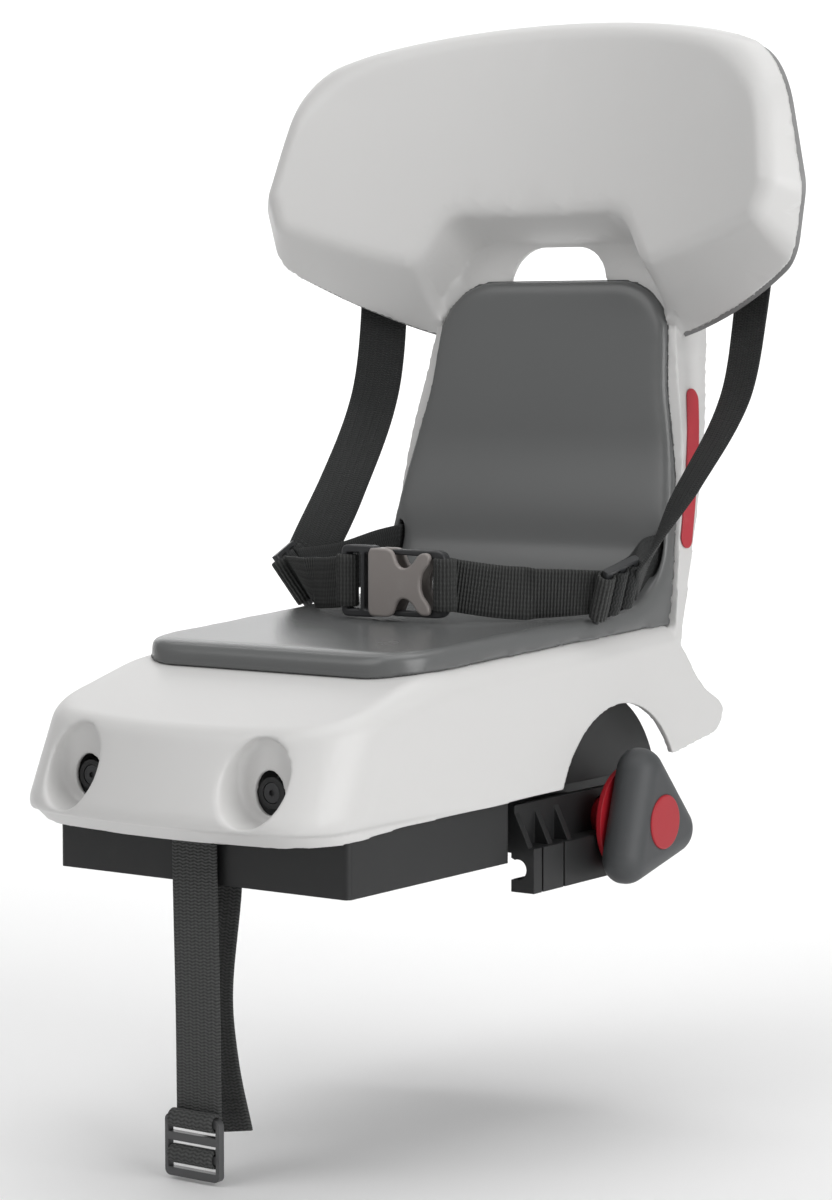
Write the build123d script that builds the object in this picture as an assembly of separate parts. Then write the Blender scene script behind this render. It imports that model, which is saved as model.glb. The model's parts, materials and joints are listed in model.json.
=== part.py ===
from build123d import *
import os
from math import asin, cos, degrees, radians, sin, sqrt, tan

# A child's seat that clamps on the luggage carrier of a bicycle. Millimetres, +Z up, the rider faces -Y
# and the rider's left is +X. The origin is on the flat underside of the base, below the clamp bolt.

# Moulded shell
wall = 3.2
seat_half_width = 96
nose_front_y = -271
nose_front_z = 33
nose_lean = 25
nose_bow = 13
nose_corner_radius = 38
nose_bevel_angle = 52
rim_front_z = 32
rim_side_z = 34
rim_bend_y = -185
seat_front_y = -168
seat_front_z = 99
seat_rear_y = 50
seat_rear_z = 110
nose_top_slope = 15
nose_top_bend_radius = 120
seat_edge_radius = 13
arch_radius = 59
arch_z = 12
tail_tip_y = 105
tail_tip_z = 60
tail_low_y = 84
tail_low_z = 45
tail_waist_y = 58
tail_waist_z = 99

# Backrest channel of the shell, open at the rear
recline = 9.7
panel_y = 58
panel_z = 121
neck_half_width = 76
neck_z = 290
flange_rear_low_y = 60
flange_rear_low_z = 98
flange_rear_high_y = 115
flange_rear_high_z = 258
channel_top_z = 332
channel_round = 16
rib_depth = 9
rib_thickness = 2.5
rib_heights = (152, 196, 240)
rib_spine_x = 34

# Handle hole in the backrest
handle_half_width = 31
handle_top_z = 309
handle_bottom_z = 262
handle_corner_radius = 20

# Headrest
head_face_radius = 400
head_face_y = 57
head_face_z = 316
head_face_lean = 9.1
head_rear_y = 101
head_rear_radius = 330
head_front_plane_y = 20
head_rear_plane_y = 130
head_front_half_width = 147.5
head_flare = 0.86
head_front_top_z = 428
head_top_rise = 0.03
head_front_low_z = 336
head_low_drop = 1.12
head_front_foot = 10
head_foot_growth = 0.7
head_shoulder = 0.85
head_shoulder_drop = 24.5
head_shoulder_radius = 55
head_side_round = 0.5
head_foot_round = 0.4
head_edge_radius = 11
cover_thickness = 4
cover_gap = 0.4
cover_inset = 2.6

# Scoop under the middle of the headrest
scoop_top_z = 334.5
scoop_top_half_width = 55
scoop_low_half_width = 73
scoop_low_z = 300
scoop_corner_radius = 18
scoop_slope = 0.6
scoop_plane_y = 50

# Pockets for the front screws
pocket_x = 54.7
pocket_z = 55
pocket_width = 34
pocket_height = 41
pocket_floor_y = -243
pocket_hole_width = 17
pocket_hole_height = 21
pocket_hole_drop = 6

# Pad
pad_gap = 0.3
pad_seat_thickness = 10
pad_back_thickness = 9
pad_front_y = -177.5
pad_front_margin = 10
pad_side_margin = 4.5
pad_front_half_width = seat_half_width - pad_front_margin
pad_rear_half_width = seat_half_width - pad_side_margin
pad_seat_rear_y = 50
pad_corner_radius = 30
pad_top_z = 291
pad_top_half_width = 69
pad_top_radius = 28
pad_bend_radius = 42
pad_lip_radius = 8
pad_skirt = 6

# Base
base_side_step = 8
base_half_width = seat_half_width - base_side_step
base_front_y = -227
base_break_y = -92
base_rear_y = 62
base_wall = 4
base_height = 60
spine_half_width = 52
deck_z = 31
vault_radius = 64
vault_half_length = 79
post_radius = 7.5
post_places = ((62, -150), (66, 0))
joint_z = 80
joint_gap = 0.2

# Carrier rails and jaws
rail_radius = 5
rail_x = 86
jaw_inner_x = 82
jaw_outer_x = 95.5
jaw_plate_x = 80
jaw_plate_thickness = 4
jaw_plate_low_z = 3
jaw_front_y = -82
jaw_rear_y = 46
jaw_bottom_z = -16.5
jaw_ledge_z = 6
jaw_top_z = 27
groove_angle = 22
jaw_rib_thickness = 4
jaw_rib_places = (-80, -62, -44, 42)
jaw_rib_reach = 9
jaw_slot_places = (-74, -54)
jaw_slot_width = 1.6
jaw_slot_depth = 1.6
boss_inner_x = 71
boss_low_z = 0.5
boss_top_z = 24
bolt_seat_x = 76.4
tongue_half_width = 16
tongue_height = 15.4
tongue_inner_x = 30
tongue_gap = 0.3

# Clamp bolt and knob
bolt_z = 12
bolt_radius = 4
bolt_bore_gap = 0.3
bolt_end_gap = 0.5
bolt_head_flats = 13
bolt_head_height = 5.3
washer_radius = 9.5
washer_thickness = 1.6
washer_gap = 0.1
nut_flats = 13
nut_length = 8
nut_gap = 0.1
thread_gap = 0.05
collar_disc_x = 97
collar_small_radius = 9
collar_middle_radius = 11.2
collar_throat_radius = 20
collar_radius = 27.5
collar_rim = 3.4
collar_room = 1.2
knob_length = 21.5
knob_tip_radius = 38.5
knob_lobe_radius = 13.5
knob_front_round = 12
knob_back_round = 8.5
knob_first_lobe = 103
knob_floor = 2
cap_radius = 14
cap_thickness = 3
cap_proud = 0.8
cap_gap = 0.1

# Webbing and harness
webbing_width = 27
webbing_thickness = 1.6
webbing_gap = 0.2
ribbon_steps = 4
slot_room = 1
pin_radius = 2.5
pin_length = 36
shoulder_x = 117.5
shoulder_slot_z = 312
shoulder_hang = ((115, 94, 275), (111, 83, 226), (106, 38, 176))
slider_place = (101, -15, 131)
hip_slot_inset = 12
hip_slot_x = seat_half_width - hip_slot_inset
hip_slot_z = 143
slider_height = 33
slider_bar = 4
slider_pitch = 10

# Buckle
buckle_y = -68
buckle_z = 134
buckle_height = 37
buckle_half_thickness = 6
socket_left_x = -31
socket_bar = 3.5
socket_block_x = -9
socket_mouth_x = 10
socket_plate = 2.6
socket_waist = 12
socket_spine = 4
tongue_left_x = 12
tongue_right_x = 34
tongue_bar = 4
tongue_half_thickness = 3.5
prong_tip_x = -5
prong_width = 9
prong_gap = 0.3
belt_depth = 49
belt_sag = 2.7

# Safety strap
strap_slot_z = 40
strap_front_y = -230.5
strap_floor_slot_y = -212
strap_tail_z = -123
lock_width = 33
lock_height = 30
lock_top_z = -112
lock_bar = 4
lock_thickness = 4

# Badge
badge_width = 11
badge_low = (68, 148)
badge_high = (90, 232)
badge_thickness = 0.8
badge_gap = 0.15

# Screws
screw_radius = 2.4
screw_head_radius = 5
screw_head_height = 2.4
screw_drive = 1.6
screw_gap = 0.1
cover_screw_places = ((150, 340), (95, 396))
cover_screw_recess = 2
cover_post_radius = 5.5


def side_prism(face, half_length):
    """A face drawn in Y and Z, as a prism to both sides of the centre plane."""
    return extrude(Plane.YZ * face, half_length, both=True)


def front_prism(face, start_y, end_y):
    """A face drawn in X and Z, as a prism from one Y to another."""
    return extrude(Plane.XZ.offset(-start_y) * face, start_y - end_y)


def polygon(*points):
    return make_face(Polyline(*points, close=True))


def both_sides(solid):
    return solid + mirror(solid, Plane.YZ)


def rod(radius, start, end):
    """A round bar between two points."""
    axis = Vector(*end) - Vector(*start)
    return extrude(Plane(start, z_dir=axis) * Circle(radius), axis.length)


def panel_front_y(z):
    return panel_y + (z - panel_z) * tan(radians(recline))


def seat_top_z(y):
    return seat_rear_z - (seat_rear_y - y) * (seat_rear_z - seat_front_z) / (seat_rear_y - seat_front_y)


# Shell

far = 300


def nose_outline(inset, front):
    half = seat_half_width - inset
    side = Polyline((-half, front + nose_bow), (-half, far), (half, far), (half, front + nose_bow))
    nose = ThreePointArc((half, front + nose_bow), (0, front), (-half, front + nose_bow))
    face = make_face(side.edges() + nose.edges())
    return fillet(face.vertices().group_by(Axis.Y)[0], nose_corner_radius - inset)


def seat_block(inset):
    """The seat's plan outline, lofted over the soft lower bevel and the leaning front."""
    low_z, high_z = rim_front_z - 12, seat_rear_z + 40
    fronts = {
        low_z: nose_front_y + (nose_front_z - low_z) * tan(radians(nose_bevel_angle)),
        nose_front_z: nose_front_y,
        high_z: nose_front_y + (high_z - nose_front_z) * tan(radians(nose_lean)),
    }
    outlines = [Plane.XY.offset(z) * nose_outline(inset, y + inset) for z, y in fronts.items()]
    return loft(outlines, ruled=True)


def seat_side(inset):
    """Side view of the seat. The inner one runs out below and behind, where the shell is open."""
    nose_z = seat_front_z - (far + seat_front_y) * tan(radians(nose_top_slope))
    nose = (-far, nose_z - inset)
    front = (seat_front_y, seat_front_z - inset)
    rear = (seat_rear_y, seat_rear_z - inset)
    if inset:
        face = polygon((-far, -far), nose, front, rear, (far, rear[1]), (far, -far))
    else:
        tail = Spline((tail_waist_y, tail_waist_z), (tail_tip_y - 14, tail_tip_z + 9),
                      (tail_tip_y, tail_tip_z), tangents=[(0.75, -0.66), (0.5, -0.87)])
        hem = Spline((tail_tip_y, tail_tip_z), (tail_low_y, tail_low_z),
                     (arch_radius - 6, arch_z + 28), tangents=[(0, -1), (-1, -0.1)])
        outline = Polyline((arch_radius - 6, arch_z + 28), (0, rim_side_z), (rim_bend_y, rim_side_z - 4),
                           (-far, rim_front_z - 10), nose, front, rear, (tail_waist_y, tail_waist_z))
        face = make_face(outline.edges() + tail.edges() + hem.edges())
    bend = face.vertices().sort_by_distance((seat_front_y, seat_front_z - inset, 0))[0]
    face = fillet(bend, nose_top_bend_radius)
    if not inset:
        face -= Pos(0, arch_z) * Circle(arch_radius)
    return face


def seat_mass(inset):
    return seat_block(inset) & side_prism(seat_side(inset), seat_half_width + 10)


def channel_front(inset):
    """Front view of the backrest, narrowing from the seat's width to the neck."""
    half, neck = seat_half_width - inset, neck_half_width - inset
    low_z, mid_z = seat_front_z - 10, (panel_z + neck_z) / 2
    mid = half - 0.42 * (half - neck)
    edge = Spline((half, low_z), (half - 2.5, panel_z + 18), (mid, mid_z + 4), (neck, neck_z),
                  tangents=[(0, 1), (0, 1)])
    rest = Polyline((neck, neck_z), (neck, far + 100), (0, far + 100), (0, low_z), (half, low_z))
    right = make_face(edge.edges() + rest.edges())
    return right + mirror(right, Plane.YZ)


def channel_side(inset):
    low = flange_rear_low_z - 10
    front_low = (panel_front_y(low) + inset, low)
    front_high = (panel_front_y(channel_top_z) + inset, channel_top_z - inset)
    if inset:
        return polygon(front_low, front_high, (far, channel_top_z - inset), (far, low))
    top_y = flange_rear_high_y + 4
    shoulder_z = channel_top_z - 30
    face = polygon(front_low, front_high, (top_y - 14, channel_top_z), (top_y, shoulder_z),
                   (flange_rear_high_y, flange_rear_high_z), (flange_rear_low_y, flange_rear_low_z))
    soft = [v for v in face.vertices() if v.X > top_y - 20 and v.Y > flange_rear_high_z - 1]
    return fillet(soft, channel_round)


def channel_mass(inset):
    side = side_prism(channel_side(inset), seat_half_width + 10)
    return side & front_prism(channel_front(inset), -far, far)


def head_outline(inset, plane_y):
    """Headrest outline on an upright plane: larger to the rear, so that every wall flares."""
    back = plane_y - head_front_plane_y
    half = head_front_half_width + head_flare * back - inset * sqrt(1 + head_flare**2)
    top = head_front_top_z + head_top_rise * back - inset
    low = head_front_low_z - head_low_drop * back + inset * sqrt(1 + head_low_drop**2)
    tall = head_front_foot + head_foot_growth * back
    shoulder = (head_shoulder * half, top - head_shoulder_drop)
    widest = (half, low + tall)
    foot = (half - 0.3 * tall, low)
    rounds = {shoulder: head_shoulder_radius, widest: head_side_round * tall, foot: head_foot_round * tall}
    left = [(-x, z) for x, z in rounds]
    crown = ThreePointArc(left[0], (0, top), shoulder)
    face = make_face(crown.edges() + Polyline(*rounds, *reversed(left)).edges())
    for (x, z), radius in rounds.items():
        for place in ((x, z, 0), (-x, z, 0)):
            corner = face.vertices().sort_by_distance(place)[0]
            face = fillet(corner, radius)
    return face


def head_face_cylinder(inset):
    """Tall cylinder whose surface is the dished front of the headrest."""
    middle = (0, head_face_y - head_face_radius + inset, head_face_z)
    lean = (0, sin(radians(head_face_lean)), cos(radians(head_face_lean)))
    return Plane(middle, z_dir=lean) * Cylinder(head_face_radius, 2 * far)


def head_rear_cylinder(inset):
    middle = (0, head_rear_y - head_rear_radius - inset, head_face_z)
    return Pos(*middle) * Cylinder(head_rear_radius, 2 * far)


def head_mass(inset, rear_inset):
    planes = (head_front_plane_y, head_rear_plane_y)
    outlines = [Plane.XZ.offset(-y) * head_outline(inset, y) for y in planes]
    block = loft(outlines, ruled=True)
    return (block & head_rear_cylinder(rear_inset)) - head_face_cylinder(inset)


def soft_head():
    """The headrest with the border of its dished front rounded."""
    head = head_mass(0, cover_thickness)
    dish = head.faces().sort_by_distance((0, head_face_y, head_front_top_z))[0]
    return fillet(dish.edges(), head_edge_radius)


def scoop(grow):
    """Cut under the middle of the headrest, sloping back and down to the backrest panel."""
    top, low = scoop_top_z + grow, scoop_low_z
    face = polygon((-scoop_top_half_width - grow, top), (scoop_top_half_width + grow, top),
                   (scoop_low_half_width + grow, low), (scoop_low_half_width + grow, low - 120),
                   (-scoop_low_half_width - grow, low - 120), (-scoop_low_half_width - grow, low))
    face = fillet(face.vertices().group_by(Axis.Y)[-1], scoop_corner_radius + grow)
    start = Plane.XZ.offset(-scoop_plane_y + 60)
    slope = Vector(0, 1, -scoop_slope)
    lifted = Pos(0, 60 * scoop_slope) * face
    cut = extrude(start * lifted, 130 * slope.length, dir=slope)
    front = polygon((-far, -far), (panel_front_y(-far) + grow, -far),
                    (panel_front_y(2 * far) + grow, 2 * far), (-far, 2 * far))
    return cut & side_prism(front, far)


def pocket(grow, depth_y):
    """Oval recess for a front screw, cut straight back to depth_y."""
    oval = Ellipse(pocket_width / 2 + grow, pocket_height / 2 + grow)
    return front_prism(Pos(pocket_x, pocket_z) * oval, nose_front_y - 20, depth_y)


def soft_seat(inset):
    """The seat with its top edges rounded."""
    seat = seat_mass(inset)
    top = seat.faces().filter_by(lambda f: f.normal_at().Z > 0.9)
    top_edges = [e for f in top for e in f.edges()]
    border = [e for e in top_edges if sum(e.is_same(o) for o in top_edges) == 1
              and e.center().Y < seat_rear_y - 1]
    return fillet(border, seat_edge_radius - inset)


def head_rear_frame(x, z):
    """Frame on the rear of the headrest: its Z points out of the surface and its X runs level along it."""
    turn = asin(x / head_rear_radius)
    place = (x, head_rear_y - head_rear_radius + head_rear_radius * cos(turn), z)
    return Plane(place, x_dir=(cos(turn), -sin(turn), 0), z_dir=(sin(turn), cos(turn), 0))


def hip_frame():
    """Frame on the backrest panel at the left hip slot: its Z runs up the panel, its Y points to the rear."""
    lean = (0, sin(radians(recline)), cos(radians(recline)))
    return Plane((hip_slot_x, panel_front_y(hip_slot_z), hip_slot_z), x_dir=(1, 0, 0), z_dir=lean)


def hip_slot():
    return hip_frame() * Box(webbing_thickness + 2 * slot_room, 60, webbing_width + 2 * slot_room)


def screw(frame, length, head_radius=screw_head_radius, radius=screw_radius):
    """Pan screw: the head stands on the frame's origin plane and the shank runs down from it."""
    head = Pos(0, 0, screw_head_height / 2) * Cylinder(head_radius, screw_head_height)
    head = fillet(head.edges().group_by(Axis.Z)[-1], 0.8)
    shank = Pos(0, 0, -length / 2) * Cylinder(radius, length)
    drive = Pos(0, 0, screw_head_height) * extrude(RegularPolygon(screw_drive, 6), -1.4)
    return frame * (head + shank - drive)


def base_screw_frames():
    """Undersides of the screw heads that hold the shell to the base, on the left."""
    (front_x, front_y), (rear_x, rear_y) = post_places
    rear_z = bolt_z + vault_radius - base_wall
    places = [(front_x, front_y, joint_z - 14), (rear_x, rear_y, rear_z)]
    return [Plane(place, z_dir=(0, 0, -1)) for place in places]


def front_screw_frame():
    return Plane((pocket_x, pocket_floor_y + 4, pocket_z - pocket_hole_drop), z_dir=(0, -1, 0))


def jaw_screw_frames():
    x = -(tongue_inner_x + 12)
    return [Plane((x, y, screw_head_height + screw_gap), z_dir=(0, 0, -1)) for y in (-11, 11)]


def cover_screw_frame(x, z):
    surface = head_rear_frame(x, z)
    return surface.offset(-cover_screw_recess)


def make_shell():
    outer_seat = soft_seat(0)
    outer_head = soft_head()
    outer_channel = channel_mass(0)
    outer = outer_seat + outer_channel + (outer_head - scoop(0))

    inner_seat = soft_seat(wall) - both_sides(pocket(wall, pocket_floor_y + wall))
    inner_head = head_mass(wall, cover_thickness - 1) - scoop(wall) - outer_channel
    inner_channel = channel_mass(wall)
    shell = outer - inner_seat - inner_channel - inner_head

    shell -= both_sides(pocket(0, pocket_floor_y))
    hole = Pos(pocket_x, pocket_z - pocket_hole_drop) * Ellipse(pocket_hole_width / 2, pocket_hole_height / 2)
    shell -= both_sides(front_prism(hole, pocket_floor_y - 5, pocket_floor_y + 8))
    handle = polygon((-handle_half_width, handle_bottom_z), (handle_half_width, handle_bottom_z),
                     (handle_half_width, handle_top_z), (-handle_half_width, handle_top_z))
    handle = fillet(handle.vertices(), handle_corner_radius)
    shell -= front_prism(handle, 0, head_rear_plane_y)

    shell += back_ribs()
    for x, y in post_places:
        boss = rod(post_radius - 1, (x, y, joint_z + joint_gap), (x, y, seat_top_z(y) - 1))
        hole = rod(screw_radius + thread_gap, (x, y, joint_z), (x, y, seat_top_z(y) - wall))
        shell = shell + both_sides(boss) - both_sides(hole)
    posts = head_mass(1, cover_thickness + cover_gap)
    for x, z in cover_screw_places:
        frame = head_rear_frame(x, z)
        post = (frame * Cylinder(cover_post_radius, 2 * far)) & posts
        shell += both_sides(post)
        hole = frame * (Pos(0, 0, -8) * Cylinder(screw_radius + thread_gap, 16))
        shell -= both_sides(hole)
    return shell - both_sides(hip_slot())


def back_ribs():
    """Stiffening ribs behind the backrest panel."""
    low, high = rib_heights[0] - 20, handle_bottom_z - 8
    side = polygon((panel_front_y(low) + 1, low), (panel_front_y(low) + wall + rib_depth, low),
                   (panel_front_y(high) + wall + rib_depth, high), (panel_front_y(high) + 1, high))
    slab = side_prism(side, rib_spine_x + rib_thickness / 2)
    upright = Pos(rib_spine_x, 0, 0) * Box(rib_thickness, 2 * far, 2 * far)
    ribs = slab & both_sides(upright)
    for z in rib_heights:
        ribs += slab & (Pos(0, 0, z) * Box(2 * far, 2 * far, rib_thickness))
    return ribs


def make_back_cover():
    cover = head_mass(cover_inset, 0) - head_rear_cylinder(cover_thickness - cover_gap)
    cover -= channel_mass(-cover_gap)
    slot = head_rear_frame(shoulder_x, shoulder_slot_z) * Box(
        webbing_width + 2 * slot_room, 2 * (webbing_thickness + slot_room), 20)
    cover -= both_sides(slot)
    for x, z in cover_screw_places:
        frame = cover_screw_frame(x, z)
        room = Pos(0, 0, 5) * Cylinder(screw_head_radius + screw_gap, 10)
        hole = Cylinder(screw_radius + screw_gap, 20)
        cover -= both_sides(frame * (room + hole))
    return cover


def make_pad():
    """Pad over seat and backrest, its skirt draped over the rounded edge of the seat."""
    low_z = seat_top_z(pad_front_y) + pad_gap
    rise = pad_back_thickness / cos(radians(recline))
    corner_z = seat_rear_z + pad_gap
    inner_z = corner_z + pad_seat_thickness
    back = [(panel_front_y(z) - pad_gap, z) for z in (pad_top_z, corner_z - pad_skirt)]
    face = [(panel_front_y(z) - pad_gap - rise, z) for z in (inner_z, pad_top_z)]
    side = polygon((pad_front_y, low_z - pad_skirt), (pad_front_y, low_z + pad_seat_thickness), *face, *back)
    side = fillet(side.vertices().sort_by_distance((*face[0], 0))[0], pad_bend_radius)
    lip = (pad_front_y, low_z + pad_seat_thickness, 0)
    side = fillet(side.vertices().sort_by_distance(lip)[0], pad_lip_radius)
    plan = polygon((-pad_front_half_width, pad_front_y), (pad_front_half_width, pad_front_y),
                   (pad_rear_half_width, pad_seat_rear_y), (pad_rear_half_width, far),
                   (-pad_rear_half_width, far), (-pad_rear_half_width, pad_seat_rear_y))
    plan = fillet(plan.vertices().group_by(Axis.Y)[0], pad_corner_radius)
    foot_z = seat_front_z - 10
    edge = Spline((pad_rear_half_width, foot_z), (pad_rear_half_width - 0.5, panel_z + 20),
                  (pad_top_half_width + 11, (panel_z + neck_z) / 2 + 11),
                  (pad_top_half_width, pad_top_z - pad_top_radius - 4), tangents=[(0, 1), (-0.1, 1)])
    rest = Polyline(edge @ 1, (pad_top_half_width - 1, pad_top_z), (0, pad_top_z), (0, foot_z), edge @ 0)
    right = make_face(edge.edges() + rest.edges())
    right = fillet(right.vertices().sort_by_distance((pad_top_half_width, pad_top_z, 0))[0], pad_top_radius)
    front = right + mirror(right, Plane.YZ)
    pad = side_prism(side, far) & extrude(plan, 2 * far) & front_prism(front, -far, far)
    return pad - soft_seat(-pad_gap) - both_sides(hip_slot())


def make_base():
    half, front = base_half_width, base_front_y
    length = base_break_y - front
    tray = Pos(0, front + length / 2, base_height / 2) * Box(2 * half, length, base_height)
    tray = fillet(tray.edges().filter_by(Axis.Z), 3)
    tray -= Pos(0, front + length / 2, base_height / 2 + base_wall) * Box(
        2 * (half - base_wall), length - 2 * base_wall, base_height)

    spine_length = base_rear_y - base_break_y
    middle_y = (base_rear_y + base_break_y) / 2
    spine = Pos(0, middle_y - 1, (deck_z + base_wall) / 2) * Box(
        2 * spine_half_width, spine_length + 2, deck_z + base_wall)
    hollow = Pos(0, middle_y, (deck_z + base_wall) / 2) * Box(
        2 * (spine_half_width - base_wall), spine_length - 2 * base_wall, deck_z - base_wall)
    arch = Pos(0, bolt_z) * Circle(vault_radius)
    inner_arch = Pos(0, bolt_z) * Circle(vault_radius - base_wall)
    above = Pos(0, deck_z + far) * Rectangle(2 * far, 2 * far)
    vault = side_prism(arch & above, vault_half_length)
    vault -= side_prism(inner_arch & above, vault_half_length - base_wall)

    base = tray + spine + vault
    for (x, y), top in zip(post_places, (base_wall, bolt_z + vault_radius - base_wall)):
        base += both_sides(rod(post_radius, (x, y, top - 1), (x, y, joint_z)))
    for frame in base_screw_frames():
        head = frame.origin
        room = rod(screw_head_radius + screw_gap, tuple(head), (head.X, head.Y, -1))
        hole = rod(screw_radius + screw_gap, tuple(head), (head.X, head.Y, joint_z + 1))
        base -= both_sides(room + hole)
    base -= hollow

    window = Box(30, 2 * (tongue_half_width + tongue_gap), tongue_height + 2 * tongue_gap)
    base -= both_sides(Pos(spine_half_width, 0, bolt_z) * window)
    for frame in jaw_screw_frames():
        base -= frame * (Cylinder(screw_radius + screw_gap, 2 * base_wall) +
                         Pos(0, 0, 5) * Cylinder(screw_head_radius + screw_gap, 10))

    mouth = front_screw_frame()
    seat = mouth.origin.Y
    boss = rod(post_radius, (mouth.origin.X, seat - screw_head_height, mouth.origin.Z),
               (mouth.origin.X, front + 1, mouth.origin.Z))
    base += both_sides(boss)
    base -= both_sides(mouth * (Pos(0, 0, 5) * Cylinder(screw_head_radius + screw_gap, 10)))
    base -= both_sides(mouth * (Pos(0, 0, -10) * Cylinder(screw_radius + thread_gap, 20)))

    slot = (webbing_width + 2 * slot_room, 3 * base_wall, webbing_thickness + 4 * slot_room)
    base -= Pos(0, front, strap_slot_z) * Box(*slot)
    base -= Pos(0, strap_floor_slot_y, 0) * Box(slot[0], slot[2], slot[1])
    return base


def groove(x):
    """Vee groove for a carrier rail, round at its root, open towards the centre plane."""
    angle = radians(groove_angle)
    reach = rail_x - jaw_inner_x + 10
    touch = (x - rail_radius * sin(angle), rail_radius * cos(angle))
    spread = touch[1] + (reach - rail_radius * sin(angle)) * tan(angle)
    wedge = polygon((x - reach, spread), touch, (touch[0], -touch[1]), (x - reach, -spread))
    return Pos(0, -rail_radius) * (wedge + Pos(x, 0) * Circle(rail_radius))


def make_jaw():
    """Left jaw: a guide tongue with a boss for the bolt, an upright plate and a hook under the rail."""
    bar = polygon((jaw_plate_x, jaw_bottom_z), (jaw_outer_x, jaw_bottom_z), (jaw_outer_x, jaw_ledge_z),
                  (jaw_plate_x, jaw_ledge_z))
    below = polygon((0, -far), (jaw_inner_x, -far), (jaw_inner_x, jaw_plate_low_z), (0, jaw_plate_low_z))
    plate_end = jaw_plate_x + jaw_plate_thickness
    plate = polygon((jaw_plate_x, jaw_plate_low_z), (plate_end, jaw_plate_low_z), (plate_end, jaw_top_z),
                    (jaw_plate_x, jaw_top_z))
    profile = bar - groove(rail_x) - below + plate
    jaw = front_prism(profile, jaw_front_y, jaw_rear_y)
    gusset = polygon((plate_end - 1, jaw_ledge_z - 1), (plate_end + jaw_rib_reach, jaw_ledge_z - 1),
                     (plate_end - 1, jaw_top_z - 2))
    for y in jaw_rib_places:
        jaw += front_prism(gusset, y - jaw_rib_thickness / 2, y + jaw_rib_thickness / 2)
    for y in jaw_slot_places:
        jaw -= Pos(jaw_outer_x, y, 0) * Box(2 * jaw_slot_depth, jaw_slot_width, 2 * far)
    tongue = polygon((tongue_inner_x, bolt_z - tongue_height / 2), (boss_inner_x, bolt_z - tongue_height / 2),
                     (boss_inner_x, boss_low_z), (plate_end, boss_low_z), (plate_end, boss_top_z),
                     (boss_inner_x, boss_top_z), (boss_inner_x, bolt_z + tongue_height / 2),
                     (tongue_inner_x, bolt_z + tongue_height / 2))
    jaw += front_prism(tongue, -tongue_half_width, tongue_half_width)
    jaw -= about_bolt(collar_profile(collar_room))
    seat = on_bolt(bolt_seat_x) * Circle(collar_small_radius + collar_room)
    jaw -= extrude(seat, collar_start_x - bolt_seat_x)
    return jaw - rod(bolt_radius + bolt_bore_gap, (0, 0, bolt_z), (far, 0, bolt_z))


def make_fixed_jaw(jaw):
    """Right jaw: the left one mirrored, with two screw holes in its tongue."""
    fixed = mirror(jaw, Plane.YZ)
    for frame in jaw_screw_frames():
        foot = frame.origin
        fixed -= rod(screw_radius + thread_gap, tuple(foot), (foot.X, foot.Y, bolt_z + 4))
    return fixed


# Clamp bolt and knob, all on the axis of the bolt

collar_start_x = bolt_seat_x + 2 * washer_gap + washer_thickness
knob_start_x = collar_disc_x + collar_rim
knob_end_x = knob_start_x + knob_length
knob_bore = knob_length - cap_thickness - knob_floor
cap_seat_x = knob_end_x - cap_thickness + cap_proud


def on_bolt(x):
    """Frame on the bolt's axis, with its Z along +X."""
    return Plane((x, 0, bolt_z), x_dir=(0, 1, 0), z_dir=(1, 0, 0))


def about_bolt(face):
    return revolve(face, Axis((0, 0, bolt_z), (1, 0, 0)))


def collar_profile(grow):
    """Half section of the collar's trumpet-shaped neck."""
    middle_x = (collar_start_x + collar_disc_x) / 2
    flare = ThreePointArc((collar_start_x, bolt_z + collar_small_radius + grow),
                          (middle_x, bolt_z + collar_middle_radius + grow),
                          (collar_disc_x, bolt_z + collar_throat_radius + grow))
    rest = Polyline(flare @ 1, (collar_disc_x, bolt_z), (collar_start_x, bolt_z), flare @ 0)
    return Plane.XZ * make_face(flare.edges() + rest.edges())


def washer(x):
    ring = Circle(washer_radius) - Circle(bolt_radius + bolt_bore_gap)
    return extrude(on_bolt(x) * ring, washer_thickness)


def make_bolt():
    head_face = -bolt_seat_x - 2 * washer_gap - washer_thickness
    tip = knob_start_x + knob_bore - bolt_end_gap
    head = extrude(on_bolt(head_face - bolt_head_height) * RegularPolygon(bolt_head_flats / sqrt(3), 6),
                   bolt_head_height)
    shank = extrude(on_bolt(head_face - 1) * Circle(bolt_radius), tip - head_face + 1)
    shank = chamfer(shank.edges().group_by(Axis.X)[-1], 0.8)
    return head + shank


def make_nut():
    """Hexagon nut that the knob turns on the bolt."""
    nut = RegularPolygon(nut_flats / sqrt(3), 6) - Circle(bolt_radius + thread_gap)
    return extrude(on_bolt(knob_start_x) * nut, nut_length)


def make_collar():
    neck = about_bolt(collar_profile(0))
    disc = extrude(on_bolt(collar_disc_x) * Circle(collar_radius), collar_rim - cap_gap)
    disc = fillet(disc.edges().group_by(Axis.X)[0], 1.2)
    return neck + disc - rod(bolt_radius + bolt_bore_gap, (0, 0, bolt_z), (far, 0, bolt_z))


def knob_outline():
    """Rounded triangle: the hull of three lobes."""
    reach = knob_tip_radius - knob_lobe_radius
    angles = [radians(knob_first_lobe - turn) for turn in (0, 120, 240)]
    lobes = [Pos(reach * cos(a), reach * sin(a)) * Circle(knob_lobe_radius) for a in angles]
    return make_hull([lobe.edge() for lobe in lobes])


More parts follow.
